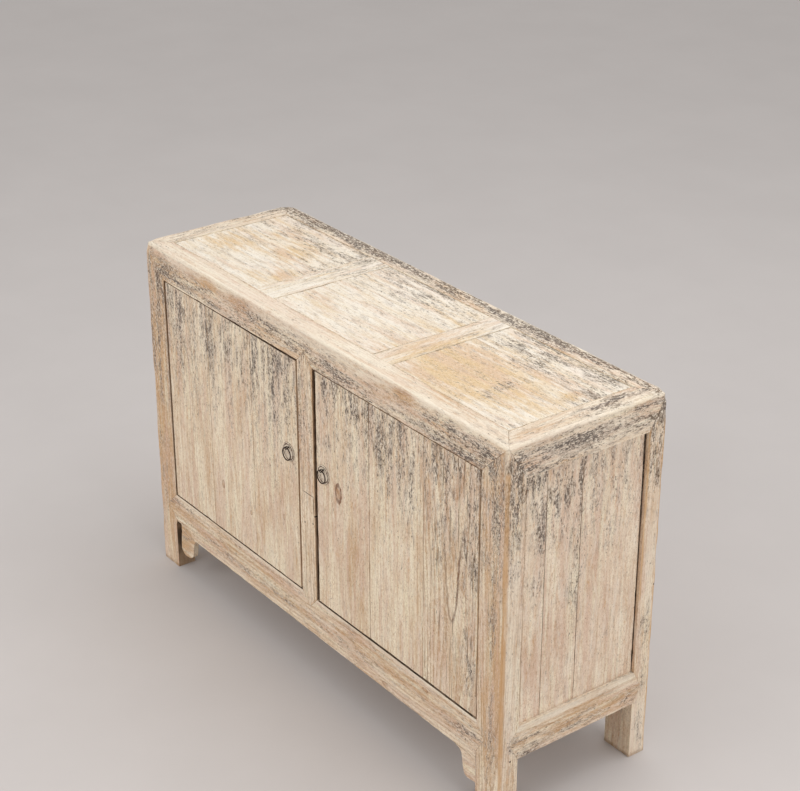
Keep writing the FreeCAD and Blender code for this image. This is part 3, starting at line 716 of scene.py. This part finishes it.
# For each side: (two coordinates of the middle, two half sizes, strength), in millimetres. The
# coordinates are x and z in front, y and z on the right, and x and y on the top.
GREY_PATCHES = {
    FRONT: [(-451, 628, 32, 22, 0.50), (-310, 605, 70, 50, 0.34), (-207, 585, 33, 71, 0.46),
            (-117, 634, 41, 40, 0.40), (-52, 568, 22, 83, 0.38), (81, 655, 41, 28, 0.50),
            (172, 639, 39, 35, 0.52), (235, 582, 28, 51, 0.47), (271, 652, 26, 23, 0.50),
            (383, 621, 19, 25, 0.50), (449, 646, 26, 22, 0.54), (482, 481, 24, 67, 0.54),
            (475, 286, 28, 103, 0.55), (309, 548, 13, 98, 0.35), (540, 120, 20, 100, 0.36),
            (-545, 420, 40, 300, 0.35), (538, 377, 10, 53, 0.60), (544, 232, 7, 69, 0.40),
            (-76, 700, 110, 24, 0.30), (447, 700, 90, 26, 0.35), (522, 688, 34, 20, 0.40),
            (548, 600, 10, 70, 0.20), (-517, 664, 41, 43, 0.35), (150, 122, 40, 14, 0.30),
            (-480, 150, 60, 24, 0.35), (0, 169, 520, 6, 0.30), (0, 128, 540, 9, 0.22),
            # The first patch on this line darkens the left bracket: grey paint it has, and painted shade,
            # since it stands in shade.
            (-478, 88, 24, 30, 0.40), (-300, 135, 90, 18, 0.40), (0, 135, 160, 18, 0.35),
            (280, 135, 90, 18, 0.35), (480, 140, 60, 24, 0.40)],
    RIGHT: [(-113, 656, 24, 22, 0.40), (-66, 607, 13, 38, 0.50), (-20, 605, 16, 59, 0.60),
            (-94, 547, 11, 37, 0.60), (-12, 509, 10, 34, 0.66), (63, 493, 15, 34, 0.45),
            (-100, 444, 13, 34, 0.66), (-12, 419, 13, 44, 0.68), (165, 593, 18, 64, 0.60),
            (155, 284, 10, 41, 0.60), (155, 168, 9, 50, 0.40), (-107, 134, 28, 26, 0.60),
            (119, 143, 20, 22, 0.60), (0, 140, 90, 22, 0.30), (-152, 581, 18, 106, 0.30),
            (-150, 672, 24, 34, 0.58), (150, 695, 30, 42, 0.62), (130, 712, 60, 18, 0.40),
            (163, 470, 15, 120, 0.30), (-158, 694, 16, 26, 0.50), (20, 706, 120, 14, 0.25),
            (155, 60, 12, 50, 0.45), (-140, 150, 20, 26, 0.40)],
    TOP: [(-428, 163, 28, 53, 0.50), (-241, 177, 45, 62, 0.70), (6, 177, 46, 77, 0.75),
          (272, 147, 43, 62, 0.60), (464, 162, 41, 58, 0.70), (-237, 2, 13, 31, 0.60),
          (-521, -131, 19, 34, 0.40), (391, -27, 18, 43, 0.60), (348, 82, 42, 54, 0.50),
          (523, 58, 52, 33, 0.45)]}
TAN_PATCHES = {
    # The first patch on this line warms and darkens the left bracket: tan wood, and painted shade, since it
    # stands in shade.
    FRONT: [(-478, 85, 24, 30, 0.50), (0, 145, 520, 30, 0.10), (545, 600, 26, 80, 0.20),
            (426, 456, 12, 20, 0.30), (545, 330, 26, 250, 0.26), (-537, 420, 33, 300, 0.50),
            (-504, 694, 31, 16, 0.60), (-329, 723, 30, 16, 0.40), (-222, 715, 29, 18, 0.50),
            (295, 727, 24, 16, 0.50), (-447, 548, 20, 34, 0.30), (148, 336, 32, 91, 0.25)],
    RIGHT: [(0, 150, 150, 30, 0.15)],
    TOP: [(-330, 40, 40, 60, 0.22), (-460, -50, 50, 50, 0.16), (-410, 90, 40, 30, 0.16),
          (310, -40, 130, 75, 0.62), (290, -49, 47, 51, 0.35), (488, 31, 12, 20, 0.50),
          (-240, -58, 21, 23, 0.40), (-438, 64, 27, 41, 0.15), (-85, -57, 35, 19, 0.10)]}
LIME_PATCHES = {
    FRONT: [(-60, 724, 520, 12, 0.6)],
    RIGHT: [(-155, 300, 26, 210, 0.65), (0, 703, 125, 30, 0.8), (155, 60, 30, 60, 0.7),
            (162, 460, 18, 170, 0.6)],
    TOP: [(0, -158, 560, 16, 0.5)]}


def slope(value, low, high):
    """A smooth rise from 0 at low to 1 at high."""
    share = np.clip((value - low) / (high - low), 0.0, 1.0)
    return share * share * (3 - 2 * share)


def sides_of(normals):
    """Which side of the cabinet each point looks out from."""
    strongest = np.abs(normals).argmax(1)
    return strongest * 2 + (normals[np.arange(len(normals)), strongest] > 0)


def patched(patches, sides, places):
    """The sum of the patches at each point; a patch counts only on its own side."""
    total = np.zeros(len(places))
    for side, rows in patches.items():
        first, second = [axis for axis in range(3) if axis != side // 2]
        for middle_1, middle_2, half_1, half_2, strength in rows:
            off = ((places[:, first] - middle_1) / half_1) ** 2
            off += ((places[:, second] - middle_2) / half_2) ** 2
            total += np.where(sides == side, strength * np.exp(-off), 0.0)
    return total


def swell(value, middle, half):
    """A smooth hump of height 1 at the middle, that fades over the half width."""
    return np.exp(-((value - middle) / half) ** 2)


INSIDE_SHARE = 0.25     # how much of the paint's strength is left on faces that look into the cabinet


def old_paint(sides, places):
    """How much of the old dark paint is left at each point, from about 0 to 1; little inside."""
    x, y, z = places.T
    left_leaf = swell(x, -430, 60) + 0.6 * swell(x, -150, 90)
    front = 0.16 + 0.44 * slope(z, 340, 640) + 0.10 * swell(z, 688, 20) - 0.32 * slope(z, 704, 724)
    front += 0.22 * left_leaf * slope(z, 300, 480) * (1 - slope(z, 560, 650))
    end = 0.16 + 0.50 * slope(z, 420, 660) - 0.06 * slope(z, 664, 676)
    back = 0.20 + 0.50 * slope(z, 350, 700)
    top = 0.30 + 0.24 * slope(y, -20, 90) + 0.95 * slope(y, 138, 165) + 0.18 * slope(x, 430, 565)
    top += 0.28 * slope(-x, 510, 565) - 0.12 * slope(-y, 110, 160)
    below = np.full(len(places), 0.15)
    strength = np.choose(sides, [end, end, front, back, below, top])
    looks_in = places[np.arange(len(places)), sides // 2] * (sides % 2 - 0.5) < 0
    return strength * np.where(looks_in & (sides < BELOW), INSIDE_SHARE, 1.0)


# %% [markdown]
# ## Wear
#
# Hands, brooms and feet round the outer corners unevenly: long soft hollows with a few deeper nicks.
# The body's own outer corners wear most. We measure how near a point lies to one of them, and move
# it inward along the corner's diagonal by an amount taken from noise, which varies slowly along the
# timber. The amount depends only on the place, so two timbers that meet at a mitre wear as one.

# %% Measure how near the outer corners are
def off_corner(places):
    """How far each point is from the nearest outer corner of the body, and the way into the wood."""
    depth = np.array([HALF_LENGTH, HALF_DEPTH, HEIGHT]) - np.abs(places)
    inward = -np.sign(places)
    deepest = depth.argmax(1)
    kept = np.arange(3)[None, :] != deepest[:, None]
    distance = np.sqrt((np.where(kept, np.maximum(depth, 0), 0) ** 2).sum(1))
    way = np.where(kept, inward, 0.0)
    return distance, way / np.linalg.norm(way, axis=1, keepdims=True)


# %% Wear the points down
def waves(places, length, shift=0.0):
    """Smooth noise from -1 to 1 at each point, with swells of about the given length."""
    return np.array([noise.noise(Vector(p) / length + Vector((shift, 0, shift))) for p in places])


CORNER_REACH = 14.0     # millimetres from an outer corner of the body that still wear with it


def worn(places, normals, lot, edges, wear):
    """The moves, in millimetres, that wear the points of one timber down."""
    # Every face is a little hollow, and the tips where three sides meet are rounded off.
    hollow = 0.5 + 0.5 * waves(places, 95, lot * 40)
    moves = -normals * (0.40 * hollow * wear)[:, None]
    depth_in = np.array([HALF_LENGTH, HALF_DEPTH, HEIGHT]) - np.abs(places)
    tip = 1 - slope(np.linalg.norm(depth_in, axis=1), 5, 26)
    moves -= np.sign(places) * (tip * (2.0 + 1.5 * waves(places, 60, 3.0)) * wear)[:, None]
    distance, way = off_corner(places)
    corner = np.flatnonzero(distance < CORNER_REACH)
    if len(corner):
        # Long hollows, shorter ones, and a few nicks.
        at = places[corner]
        depth = 0.2 + np.maximum(0, waves(at, 70)) * 2.2 + np.maximum(0, waves(at, 24)) * 1.2
        depth += np.maximum(0, waves(at, 11) - 0.35) * 3.0
        depth *= (1 - slope(distance[corner], 1.5, 9.0)) * wear
        moves[corner] += way[corner] * depth[:, None]
    inner = np.flatnonzero((distance >= CORNER_REACH) & (edges > 0))
    if len(inner):
        at = places[inner]
        nibble = np.maximum(0, waves(at, 30)) * 1.1 + np.maximum(0, waves(at, 9) - 0.3) * 1.2
        moves[inner] -= normals[inner] * (nibble * edges[inner] * wear)[:, None]
    return moves


# %% Trim the left leaf's top and the left foot
PLANED_TOP = (655, 664)         # z where the left leaf starts to be planed, and where it is in full
PLANED_ALONG = (-380, -60)      # x over which the planing deepens, toward the stile
FOOT_WEAR = 5.0                 # millimetres off the left front foot's inner side
WORN_FOOT = (104, 122)          # z up to which the foot is worn in full, and where the wear ends


def trimmed(node, places):
    """The left leaf was planed at its top to clear the rail; the left foot is worn on its inner side."""
    x, z = places[:, 0], places[:, 2]
    cut = np.zeros_like(places)
    if node.startswith("door_left_board"):
        cut[:, 2] = -slope(z, *PLANED_TOP) * (2.2 * slope(x, *PLANED_ALONG) - 0.8)
    if node == "leg_front_left":
        cut[:, 0] = -FOOT_WEAR * (1 - slope(z, *WORN_FOOT)) * np.clip((x + 548) / 44, 0, 1)
    return cut


# %% [markdown]
# ## Dirt and painted shade in the gaps
#
# A duster clears the lip of a gap and never reaches its bottom, and far inside, where no air moves,
# little dust arrives. So a gap is light at its lip, dark a few millimetres in, and lighter again far
# inside; the dark is dirt with painted shade in it, the shade that a gap holds. A face that looks up
# from under a rail takes it in full, as painted shade. The seams round the top's panels are wiped
# every day and stay pale. Joints that are closed show only a thin line, whose strength is given for
# each kind of piece.

# %% How dark each point is painted, for dirt and shade
TOP_OPENINGS = {"left": (-522, -222), "centre": (-160, 152), "right": (206, 522)}
OPENING_DEPTH = 135
PANEL_RECESS, FRONT_LIP = 7.0, 1.5      # how far behind the face the gaps' lips lie
LIP_SHARE, LIP_DEPTH = 0.36, 2.5        # the darkening that a lip keeps, dirt and painted shade, and how deep a lip goes


def gap_dirt_and_shade(point, faces_up):
    """Dirt and painted shade in a gap: little at its lip, all of it a few millimetres in, less far inside.
    """
    x, y, z = point / MM
    top_end = TOP_OPENINGS["right"][1] + 2
    if HEIGHT - z < 10 and abs(x) < top_end and abs(y - DEPTH_SHIFT) < OPENING_DEPTH + 2:
        return 0.1
    from_end, from_front = HALF_LENGTH - abs(x), HALF_DEPTH - abs(y - DEPTH_SHIFT)
    beyond = from_end - PANEL_RECESS if from_end < from_front else from_front - FRONT_LIP
    past_lip = LIP_SHARE + (1 - LIP_SHARE) * min(1.0, max(0.0, beyond / LIP_DEPTH))
    far_inside = min(1.0, max(0.0, (beyond - 10) / 8))
    # A face that looks up from under a rail gets the darkening in full: painted shade of the rail.
    return (1.0 if faces_up else past_lip) * (1 - 0.62 * far_inside)


def dirt_shade_and_arrises(timber, node, joint_dirt):
    """How dark each point is painted, for dirt in joints and dirt with painted shade in gaps, and 1.0 for
    each point on an open arris.
    """
    gaps = gaps_before(timber, node)
    eased = timber.faces.layers.int["eased"]
    seams, open_arrises = [], []
    for vertex in timber.verts:
        flats = [gaps[face.index] for face in vertex.link_faces if not face[eased]]
        touching = any(gap < TOUCH for gap in flats)
        beside_gap = any(TOUCH <= gap < REACH for gap in flats)
        seam = joint_dirt if touching else gap_dirt_and_shade(vertex.co, vertex.normal.z > 0.5) * beside_gap
        if not flats:
            around = [gaps[face.index] for edge in vertex.link_edges
                      for face in edge.other_vert(vertex).link_faces if not face[eased]]
            touching_beside = any(gap < TOUCH for gap in around)
            seam = joint_dirt if touching_beside else 0.1 * (min(around, default=REACH) < REACH)
        seams.append(seam)
        is_eased = any(face[eased] for face in vertex.link_faces)
        open_arrises.append(1.0 if is_eased and not touching else 0.0)
    return np.array(seams), np.array(open_arrises)


# %% [markdown]
# ## The painted values
#
# Each value below says where one layer of the finish is strong on one timber. Most follow from the
# place alone. A few follow from how the cabinet is used and lit: the sides of a door that slide past
# the stile are rubbed clean, the feet are darker at the bottom and carry painted shade on the front
# legs' inner sides, and the rails' upper edges are worn pale and carry a painted highlight.

# %% Paint the values of one timber
STILE_ARRIS, LEG_ARRIS = 20.0, 135.0    # x of the stile's right arris, y of the rear leg's inner one
RAIL_TOP = 180.0                        # the upper edge of the front bottom rail
LEG_RUB = (322, 338)                    # the rear leg is rubbed bare above this height


def clean_sides(node, slot, normals, z):
    """The sides that are rubbed clean: at once, and together with the wiped ones, which keep less of the
    gaps' dirt and shade.
    """
    to_right, to_left = slope(normals[:, 0], 0.2, 0.6), slope(-normals[:, 0], 0.2, 0.6)
    rubbed = (slot == "door_wood") * (to_right + 0.6 * to_left) + (node == "stile_front") * 0.95 * to_left
    right_leaf = node.startswith("door_right_board")
    wiped = np.maximum(rubbed, 0.75 * right_leaf * slope(normals[:, 2], 0.2, 0.6))
    return rubbed, np.maximum(wiped, (slot == "panel_wood") * 0.8 * (np.abs(z - 425) > 225))


def foot_dirt_and_shade(node, normals, x, z):
    """Every leg is darker over its bottom few millimetres; the front legs' inner sides carry painted shade
    low down, under the cabinet.
    """
    sole = 0.42 * (1 - slope(z, 3, 14)) * node.startswith("leg_")
    # The front legs' inner sides below 118 mm, in the shade under the cabinet: painted shade.
    inside = (normals[:, 0] * x < -300) & (z < 118)
    return np.maximum(sole, (0.5 + 0.42 * slope(z, 12, 45)) * inside * node.startswith("leg_front"))


def painted_values(node, slot, places, normals, seams, open_arrises, figure):
    """Every painted value of one timber, by name."""
    x, y, z = places.T
    sides = sides_of(normals)
    on_corner = 1 - slope(off_corner(places)[0], 3.5, 9.0)
    below_top = slope(HEIGHT - z, 36, 54)
    rubbed_side, clean = clean_sides(node, slot, normals, z)
    stile_rub = (node == "stile_front") * (sides == FRONT) * slope(x, STILE_ARRIS - 6, STILE_ARRIS - 2)
    stile_arris = open_arrises * (node == "stile_front") * (x > 0)
    leg_rub = (node == "leg_rear_right") * (sides == RIGHT) * (1 - slope(y - LEG_ARRIS, 3.0, 8.0))
    # A band along the base rails' upper arris: pale wear, with a painted highlight where the rounded edge
    # catches light.
    rail_polish_and_highlight = (1 - slope(RAIL_TOP - z, 3.0, 12.0)) * node.startswith("base_rail_") * (sides != BELOW)
    end_rail = node.startswith(("top_rail_left", "top_rail_right"))
    # How much of the gaps' dirt and painted shade each point may keep.
    most_dirt_and_shade = 1 - clean + 0.30 * (slot == "door_wood")
    uneven = 0.74 + 0.26 * slope(waves(places, 17, 9.0), -0.4, 0.4)
    return {
        "grey": old_paint(sides, places) + patched(GREY_PATCHES, sides, places),
        "tan": patched(TAN_PATCHES, sides, places),
        "lime": patched(LIME_PATCHES, sides, places),
        "rubbed": np.maximum.reduce([below_top * on_corner, 0.9 * rubbed_side, stile_rub,
                                     leg_rub * slope(z, *LEG_RUB), stile_arris]),
        # Pale worn edges: the top's edge and the base rails' upper arris, both with a painted highlight,
        # and the end rails' open arrises.
        "polish_and_highlight": np.maximum.reduce([(HEIGHT - z < 12) * on_corner, rail_polish_and_highlight,
                                       open_arrises * (z < 690) * end_rail]),
        "scrubbed": (sides == TOP) * slope(z, 715, 725),
        # seam: dirt in closed joints, dirt with painted shade in gaps, and painted shade on the front feet.
        "seam": np.maximum(foot_dirt_and_shade(node, normals, x, z), np.minimum(seams, most_dirt_and_shade)) * uneven,
        "figure": np.full(len(places), figure),
    }


# %% [markdown]
# Now one function puts the steps together. It returns an ordinary Blender object whose mesh carries
# all the painted values, rides on the same body as its solid, and stands in for it.

# %% Dress one timber
def dress(node, slot, ease, spacing=8.0, wear=1.0, figure=1.0, joint_dirt=0.5):
    """The worn timber: ease and spacing are in millimetres, wear, figure and joint_dirt are shares."""
    timber = whole_solid(node)
    ease_arrises(timber, ease * MM)
    cut_small(timber, spacing * MM)
    timber.normal_update()
    timber.faces.ensure_lookup_table()
    seams, open_arrises = dirt_shade_and_arrises(timber, node, joint_dirt)

    points = np.array([vertex.co for vertex in timber.verts])
    normals = np.array([vertex.normal for vertex in timber.verts])
    places = points / MM - (0, DEPTH_SHIFT, 0)
    values = painted_values(node, slot, places, normals, seams, open_arrises, figure)
    moves = worn(places, normals, drawn_lot(node, 7), open_arrises, wear) + trimmed(node, places)

    mesh = bpy.data.meshes.new(node + ".worn")
    timber.to_mesh(mesh)
    timber.free()
    mesh.vertices.foreach_set("co", (points + moves * MM).ravel())
    for name, numbers in values.items():
        mesh.attributes.new(name, "FLOAT", "POINT").data.foreach_set("value", numbers)
    carry_grain(mesh, grain_place(node, points))
    piece = linked(node + ".worn", mesh, finishes[slot], 46)
    planed = piece.modifiers.new("planed faces stay flat", "WEIGHTED_NORMAL")
    planed.keep_sharp = True
    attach(piece, body_of[node])
    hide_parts(node)
    return piece


def dress_all(words, slot, **how):
    """Dresses every solid whose name starts with one of the words."""
    nodes = sorted(node for node in body_of if node.startswith(words))
    pieces = [dress(node, slot, **how) for node in nodes]
    print(slot + ":", len(pieces), "dressed,", sum(len(piece.data.polygons) for piece in pieces), "faces")


# %% Dress the frame
dress_all(("leg_front_left", "leg_rear", "bracket_"), "frame_wood", ease=0.3, joint_dirt=0.2)
dress_all(("leg_front_right", "stile_"), "frame_wood", ease=0.3, figure=1.6, joint_dirt=0.2)
dress_all(("base_rail_", "apron_"), "frame_wood", ease=0.35, figure=1.4, joint_dirt=0.25)
dress_all(("top_rail_",), "frame_wood", ease=0.3, spacing=6.0, joint_dirt=0.15)

# %% Dress the top
dress_all(("top_crossrail_", "top_board_"), "top_wood", ease=0.5, joint_dirt=0.25)

# %% [markdown]
# A board that lies in a frame shrinks about a millimetre away from it, and a top that is wiped every
# day packs that seam with wax and dust. So the seams round the panels are pale and shallow, not
# black. We lay a narrow ribbon in each, a little under the surface and uneven in height. One could
# close the gaps in the boards themselves, but then the boards would be the wrong size.

# %% Pack the top's seams
def seam_dust_finish():
    """Old wax and dust, pale and a little mottled."""
    r = new_finish("wax and dust")
    spot = r.streaks(r.painted("grain", "Vector"), (160, 160, 160), 4.0, 0.7)
    colour = r.blend(r.step(spot, 0.38, 0.66), srgb(212, 196, 168), srgb(150, 126, 98))
    return r.finish(colour, 0.9, {"Specular IOR Level": 0.2})


def pack_seam(name, start, end, material):
    """A ribbon of packed dust along one straight seam of the top, from start to end in millimetres."""
    start, end = np.array(start, float), np.array(end, float)
    steps = int(np.linalg.norm(end - start) / 3)
    along = (end - start) / np.linalg.norm(end - start)
    across = np.array([-along[1], along[0]])
    points = []
    for step_number in range(steps + 1):
        x, y = start + (end - start) * step_number / steps
        sunk = max(0.3, 0.4 + 0.6 * noise.noise(Vector((x / 22, y / 22, 5.0))))
        for offset, drop in ((-1.0, 0.15), (0.0, 0.0), (1.0, 0.15)):
            points.append(((x + across[0] * offset) * MM, (y + across[1] * offset + DEPTH_SHIFT) * MM,
                           (HEIGHT - sunk - drop) * MM))
    faces = [(a, a + 1, a + 4, a + 3) for row in range(steps) for a in (3 * row, 3 * row + 1)]
    mesh = bpy.data.meshes.new(name)
    mesh.from_pydata(points, [], faces)
    carry_grain(mesh, points)
    piece = linked(name, mesh, material)
    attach(piece, "carcase")


seam_dust = seam_dust_finish()
for part, (low_x, high_x) in TOP_OPENINGS.items():
    left, right, near_y, far_y = low_x + 0.5, high_x - 0.5, -OPENING_DEPTH + 0.5, OPENING_DEPTH - 0.5
    pack_seam("seam_" + part + "_front", (left, near_y), (right, near_y), seam_dust)
    pack_seam("seam_" + part + "_rear", (left, far_y), (right, far_y), seam_dust)
    pack_seam("seam_" + part + "_low_end", (left, near_y), (left, far_y), seam_dust)
    pack_seam("seam_" + part + "_high_end", (right, near_y), (right, far_y), seam_dust)
print("seams packed:", 4 * len(TOP_OPENINGS))

# %% Dress the ends
dress_all(("side_board_",), "panel_wood", ease=0.7, joint_dirt=0.9)

# %% Dress the door boards
dress_all(("door_left_board_", "door_right_board_inner", "door_right_board_middle"), "door_wood", ease=1.1,
          joint_dirt=0.75)
dress_all(("door_right_board_outer",), "door_wood", ease=1.1, joint_dirt=0.75, figure=2.6)

# %% Dress the inside
dress_all(("door_left_batten_", "door_right_batten_", "floor_", "back_board_"), "inner_wood",
          ease=0.8, spacing=14.0, wear=0.7)

# %% [markdown]
# ## The iron pulls
#
# Each pull is three pieces. A thin domed plate of sheet iron keeps the ring off the wood; it was
# limewashed with the door and shows rust and a dark line at its rim. A split pin, which is one
# half-round wire folded back on itself, makes the eye, passes through the board and opens into two
# tails behind it. The ring hangs in the eye. A smith bends all three by eye, so nothing is a true
# circle: we carry a section along a path for the wires, and give every path and edge a slight wobble.

# %% Carry a section along a path
def forged(name, points, faces, material):
    """An object of iron, smooth but for its sharpest edges."""
    mesh = bpy.data.meshes.new(name)
    mesh.from_pydata(points, [], faces)
    return linked(name, mesh, material, 50)


def swept_bar(name, middles, widths, thicks, closed, material):
    """A bar whose oval section follows the middles; widths and thicks are its half axes there."""
    around = 14
    points, faces = [], []
    for middle, width, thick in zip(middles, widths, thicks):
        for number in range(around):
            turn = math.tau * number / around
            points.append(middle + width * math.cos(turn) + thick * math.sin(turn))
    rows = len(middles)
    for row in range(rows if closed else rows - 1):
        here, there = row * around, (row + 1) % rows * around
        for number in range(around):
            other = (number + 1) % around
            faces.append((here + number, here + other, there + other, there + number))
    if not closed:
        faces += [tuple(range(around))[::-1], tuple(range((rows - 1) * around, rows * around))]
    return forged(name, points, faces, material)


# %% Iron finishes
def forged_iron(name, dark, light, rough):
    """Dark iron with forge scale in relief and a little rust."""
    r = new_finish(name)
    spot = r.put("ShaderNodeTexCoord", {}).outputs["Object"]
    scale = r.streaks(spot, (520, 520, 520), 4.0, 0.65)
    colour = r.blend(r.step(scale, 0.38, 0.66), dark, light)
    rust = r.streaks(spot, (260, 260, 260), 3.0, 0.7)
    colour = r.lay(colour, srgb(98, 62, 40), r.step(rust, 0.56, 0.68), 0.6)
    return r.finish(colour, rough, {"Metallic": 0.3}, scale)


def washed_plate(name):
    """Sheet iron under limewash, with rust spots, and dark where the painted value rim is high: dirt with
    painted shadow.
    """
    r = new_finish(name)
    spot = r.put("ShaderNodeTexCoord", {}).outputs["Object"]
    scale = r.streaks(spot, (330, 330, 330), 4.0, 0.7)
    colour = r.blend(r.step(scale, 0.40, 0.64), srgb(228, 214, 194), srgb(202, 184, 162))
    spots = r.streaks(spot, (190, 190, 190), 3.0, 0.7)
    colour = r.lay(colour, srgb(126, 84, 62), r.step(spots, 0.55, 0.65), 0.70)
    # Dark at the rim and in the dip inside it: dirt, with painted shadow.
    rim_shadow_and_dirt = r.step(r.times_plus(spots, 1.4, r.painted("rim")), 1.20, 1.60)
    colour = r.lay(colour, srgb(84, 62, 48), rim_shadow_and_dirt, 0.90)
    return r.finish(colour, 0.7, {"Specular IOR Level": 0.3}, scale)


ring_iron = forged_iron("dark forged iron", srgb(42, 30, 22), srgb(76, 56, 42), 0.6)
# The pin is drawn near black, darker than the ring: dark iron, with painted shade for its shaded eye.
pin_iron_shaded = forged_iron("pin iron with painted shade", srgb(17, 14, 12), srgb(40, 31, 25), 0.7)
plate_iron = washed_plate("limewashed plate iron")

# %% Bend the rings
RING_WIRE = 1.2 * MM
RING_STEPS = 72


def bend_ring(side):
    low, high = boxes["pull_ring_" + side]
    radius = (high[0] - low[0]) / 2 - RING_WIRE
    middle = Vector([(low[i] + high[i]) / 2 for i in range(3)])
    middles, widths, thicks = [], [], []
    for number in range(RING_STEPS):
        turn = math.tau * number / RING_STEPS
        out = Vector((math.sin(turn), 0, math.cos(turn)))
        wobble = noise.noise(out * 1.3 + Vector((drawn_lot(side, 1) * 9, 0, 0)))
        thickness = RING_WIRE * (1 + 0.10 * noise.noise(out * 4 + Vector((0, 5, 0))))
        at_eye = math.exp(-(turn - math.tau * (turn > math.pi)) ** 2 / 0.05)
        middles.append(middle + out * (radius + 0.25 * MM * wobble * (1 - at_eye)))
        widths.append(out * thickness * (1 - 0.12 * at_eye))
        thicks.append(Vector((0, thickness, 0)))
    ring = swept_bar("ring_" + side, middles, widths, thicks, True, ring_iron)
    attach(ring, "ring_" + side)
    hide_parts("pull_ring_" + side)
    return ring


for side in ("left", "right"):
    print("ring", side, "with", len(bend_ring(side).data.vertices), "points")

# %% Fold the split pins
joints = frame["record"]["behaviour"]["joints"]
joint_places = {joint["name"]: Vector(joint["pos_m"]) for joint in joints}
EYE_BEND = 3.1 * MM
HALF_WIDE, HALF_THICK = 1.25 * MM, 0.72 * MM
TAIL = 10.6 * MM


def fold_pin(side):
    """One wire: up from the lower tail, forward, round the eye, back, and up into the upper tail."""
    eye = joint_places["ring_" + side + "_swing"]
    board_back = boxes["door_" + side + "_board_inner"][1][1]
    tail_y = board_back + HALF_THICK
    path = [(tail_y, -TAIL), (tail_y + 0.1 * MM, -0.6 * TAIL), (tail_y, -0.25 * TAIL),
            (tail_y - 0.6 * MM, -1.1 * MM), (tail_y - 2.2 * MM, -HALF_THICK)]
    path += [(tail_y + (eye.y + 3.6 * MM - tail_y) * share, -HALF_THICK) for share in (0.4, 0.7, 1.0)]
    half = [(eye.y + EYE_BEND * math.cos(turn), -EYE_BEND * math.sin(turn))
            for turn in np.linspace(0.35, math.pi, 12)]
    path += half
    path += [(y, -z) for y, z in reversed(path[:-1])]
    middles = [Vector((eye.x, y, eye.z + z)) for y, z in path]
    widths, thicks = [], []
    for number in range(len(middles)):
        before, after = middles[max(0, number - 1)], middles[min(len(middles) - 1, number + 1)]
        along = (after - before).normalized()
        end = 0.7 if number in (0, len(middles) - 1) else 1.0
        widths.append(Vector((HALF_WIDE * end, 0, 0)))
        thicks.append(along.cross(Vector((1, 0, 0))).normalized() * HALF_THICK * end)
    pin = swept_bar("pin_" + side, middles, widths, thicks, False, pin_iron_shaded)
    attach(pin, "door_" + side)
    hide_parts("pull_pin_" + side)
    return pin


for side in ("left", "right"):
    print("pin", side, "with", len(fold_pin(side).data.vertices), "points")

# %% Beat out the plates
# From the middle outward: (share of the radius, height off the door in millimetres).
PROFILE = [(0.0, 1.95), (0.15, 1.92), (0.32, 1.75), (0.5, 1.45), (0.66, 1.15), (0.78, 0.95),
           (0.85, 0.90), (0.90, 1.15), (0.94, 1.20), (0.975, 1.0), (1.0, 0.45), (1.0, 0.0)]


def beat_plate(side):
    """A round domed plate with a turned-up rim, drawn as rings of points round its middle."""
    low, high = boxes["pull_plate_" + side]
    radius, back = (high[0] - low[0]) / 2, high[1]
    middle_x, middle_z = (low[0] + high[0]) / 2, (low[2] + high[2]) / 2
    around = 64
    points, rim_shadow_values = [(middle_x, back - PROFILE[0][1] * MM, middle_z)], [0.0]
    for share, height in PROFILE[1:]:
        for number in range(around):
            turn = math.tau * number / around
            lot = Vector((math.cos(turn), math.sin(turn), drawn_lot(side, 2) * 7))
            dent = 1 + 0.12 * noise.noise(lot * 2.2 + Vector((share * 3, 0, 0)))
            reach = radius * share * (1 - 0.03 * share * (0.5 + 0.5 * noise.noise(lot * 1.6)))
            points.append((middle_x + reach * math.cos(turn), back - min(2.0, height * dent) * MM,
                           middle_z + reach * math.sin(turn)))
            # The rim value: high in the dip inside the turned-up rim and at its outer edge, where the
            # finish paints dirt and shadow.
            rim_shadow_values.append(slope(share, 0.70, 0.80) * (1 - slope(share, 0.86, 0.92)) + slope(share, 0.95, 1.0))
    faces = [(0, 1 + (number + 1) % around, 1 + number) for number in range(around)]
    for row in range(len(PROFILE) - 2):
        here, there = 1 + row * around, 1 + (row + 1) * around
        for number in range(around):
            other = (number + 1) % around
            faces.append((here + number, here + other, there + other, there + number))
    faces.append(tuple(range(len(points) - around, len(points)))[::-1])
    plate = forged("plate_" + side, points, faces, plate_iron)
    plate.data.attributes.new("rim", "FLOAT", "POINT").data.foreach_set("value", rim_shadow_values)
    recalculated = bmesh.new()
    recalculated.from_mesh(plate.data)
    bmesh.ops.recalc_face_normals(recalculated, faces=recalculated.faces)
    recalculated.to_mesh(plate.data)
    recalculated.free()
    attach(plate, "door_" + side)
    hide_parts("pull_plate_" + side)
    return plate


for side in ("left", "right"):
    print("plate", side, "with", len(beat_plate(side).data.vertices), "points")
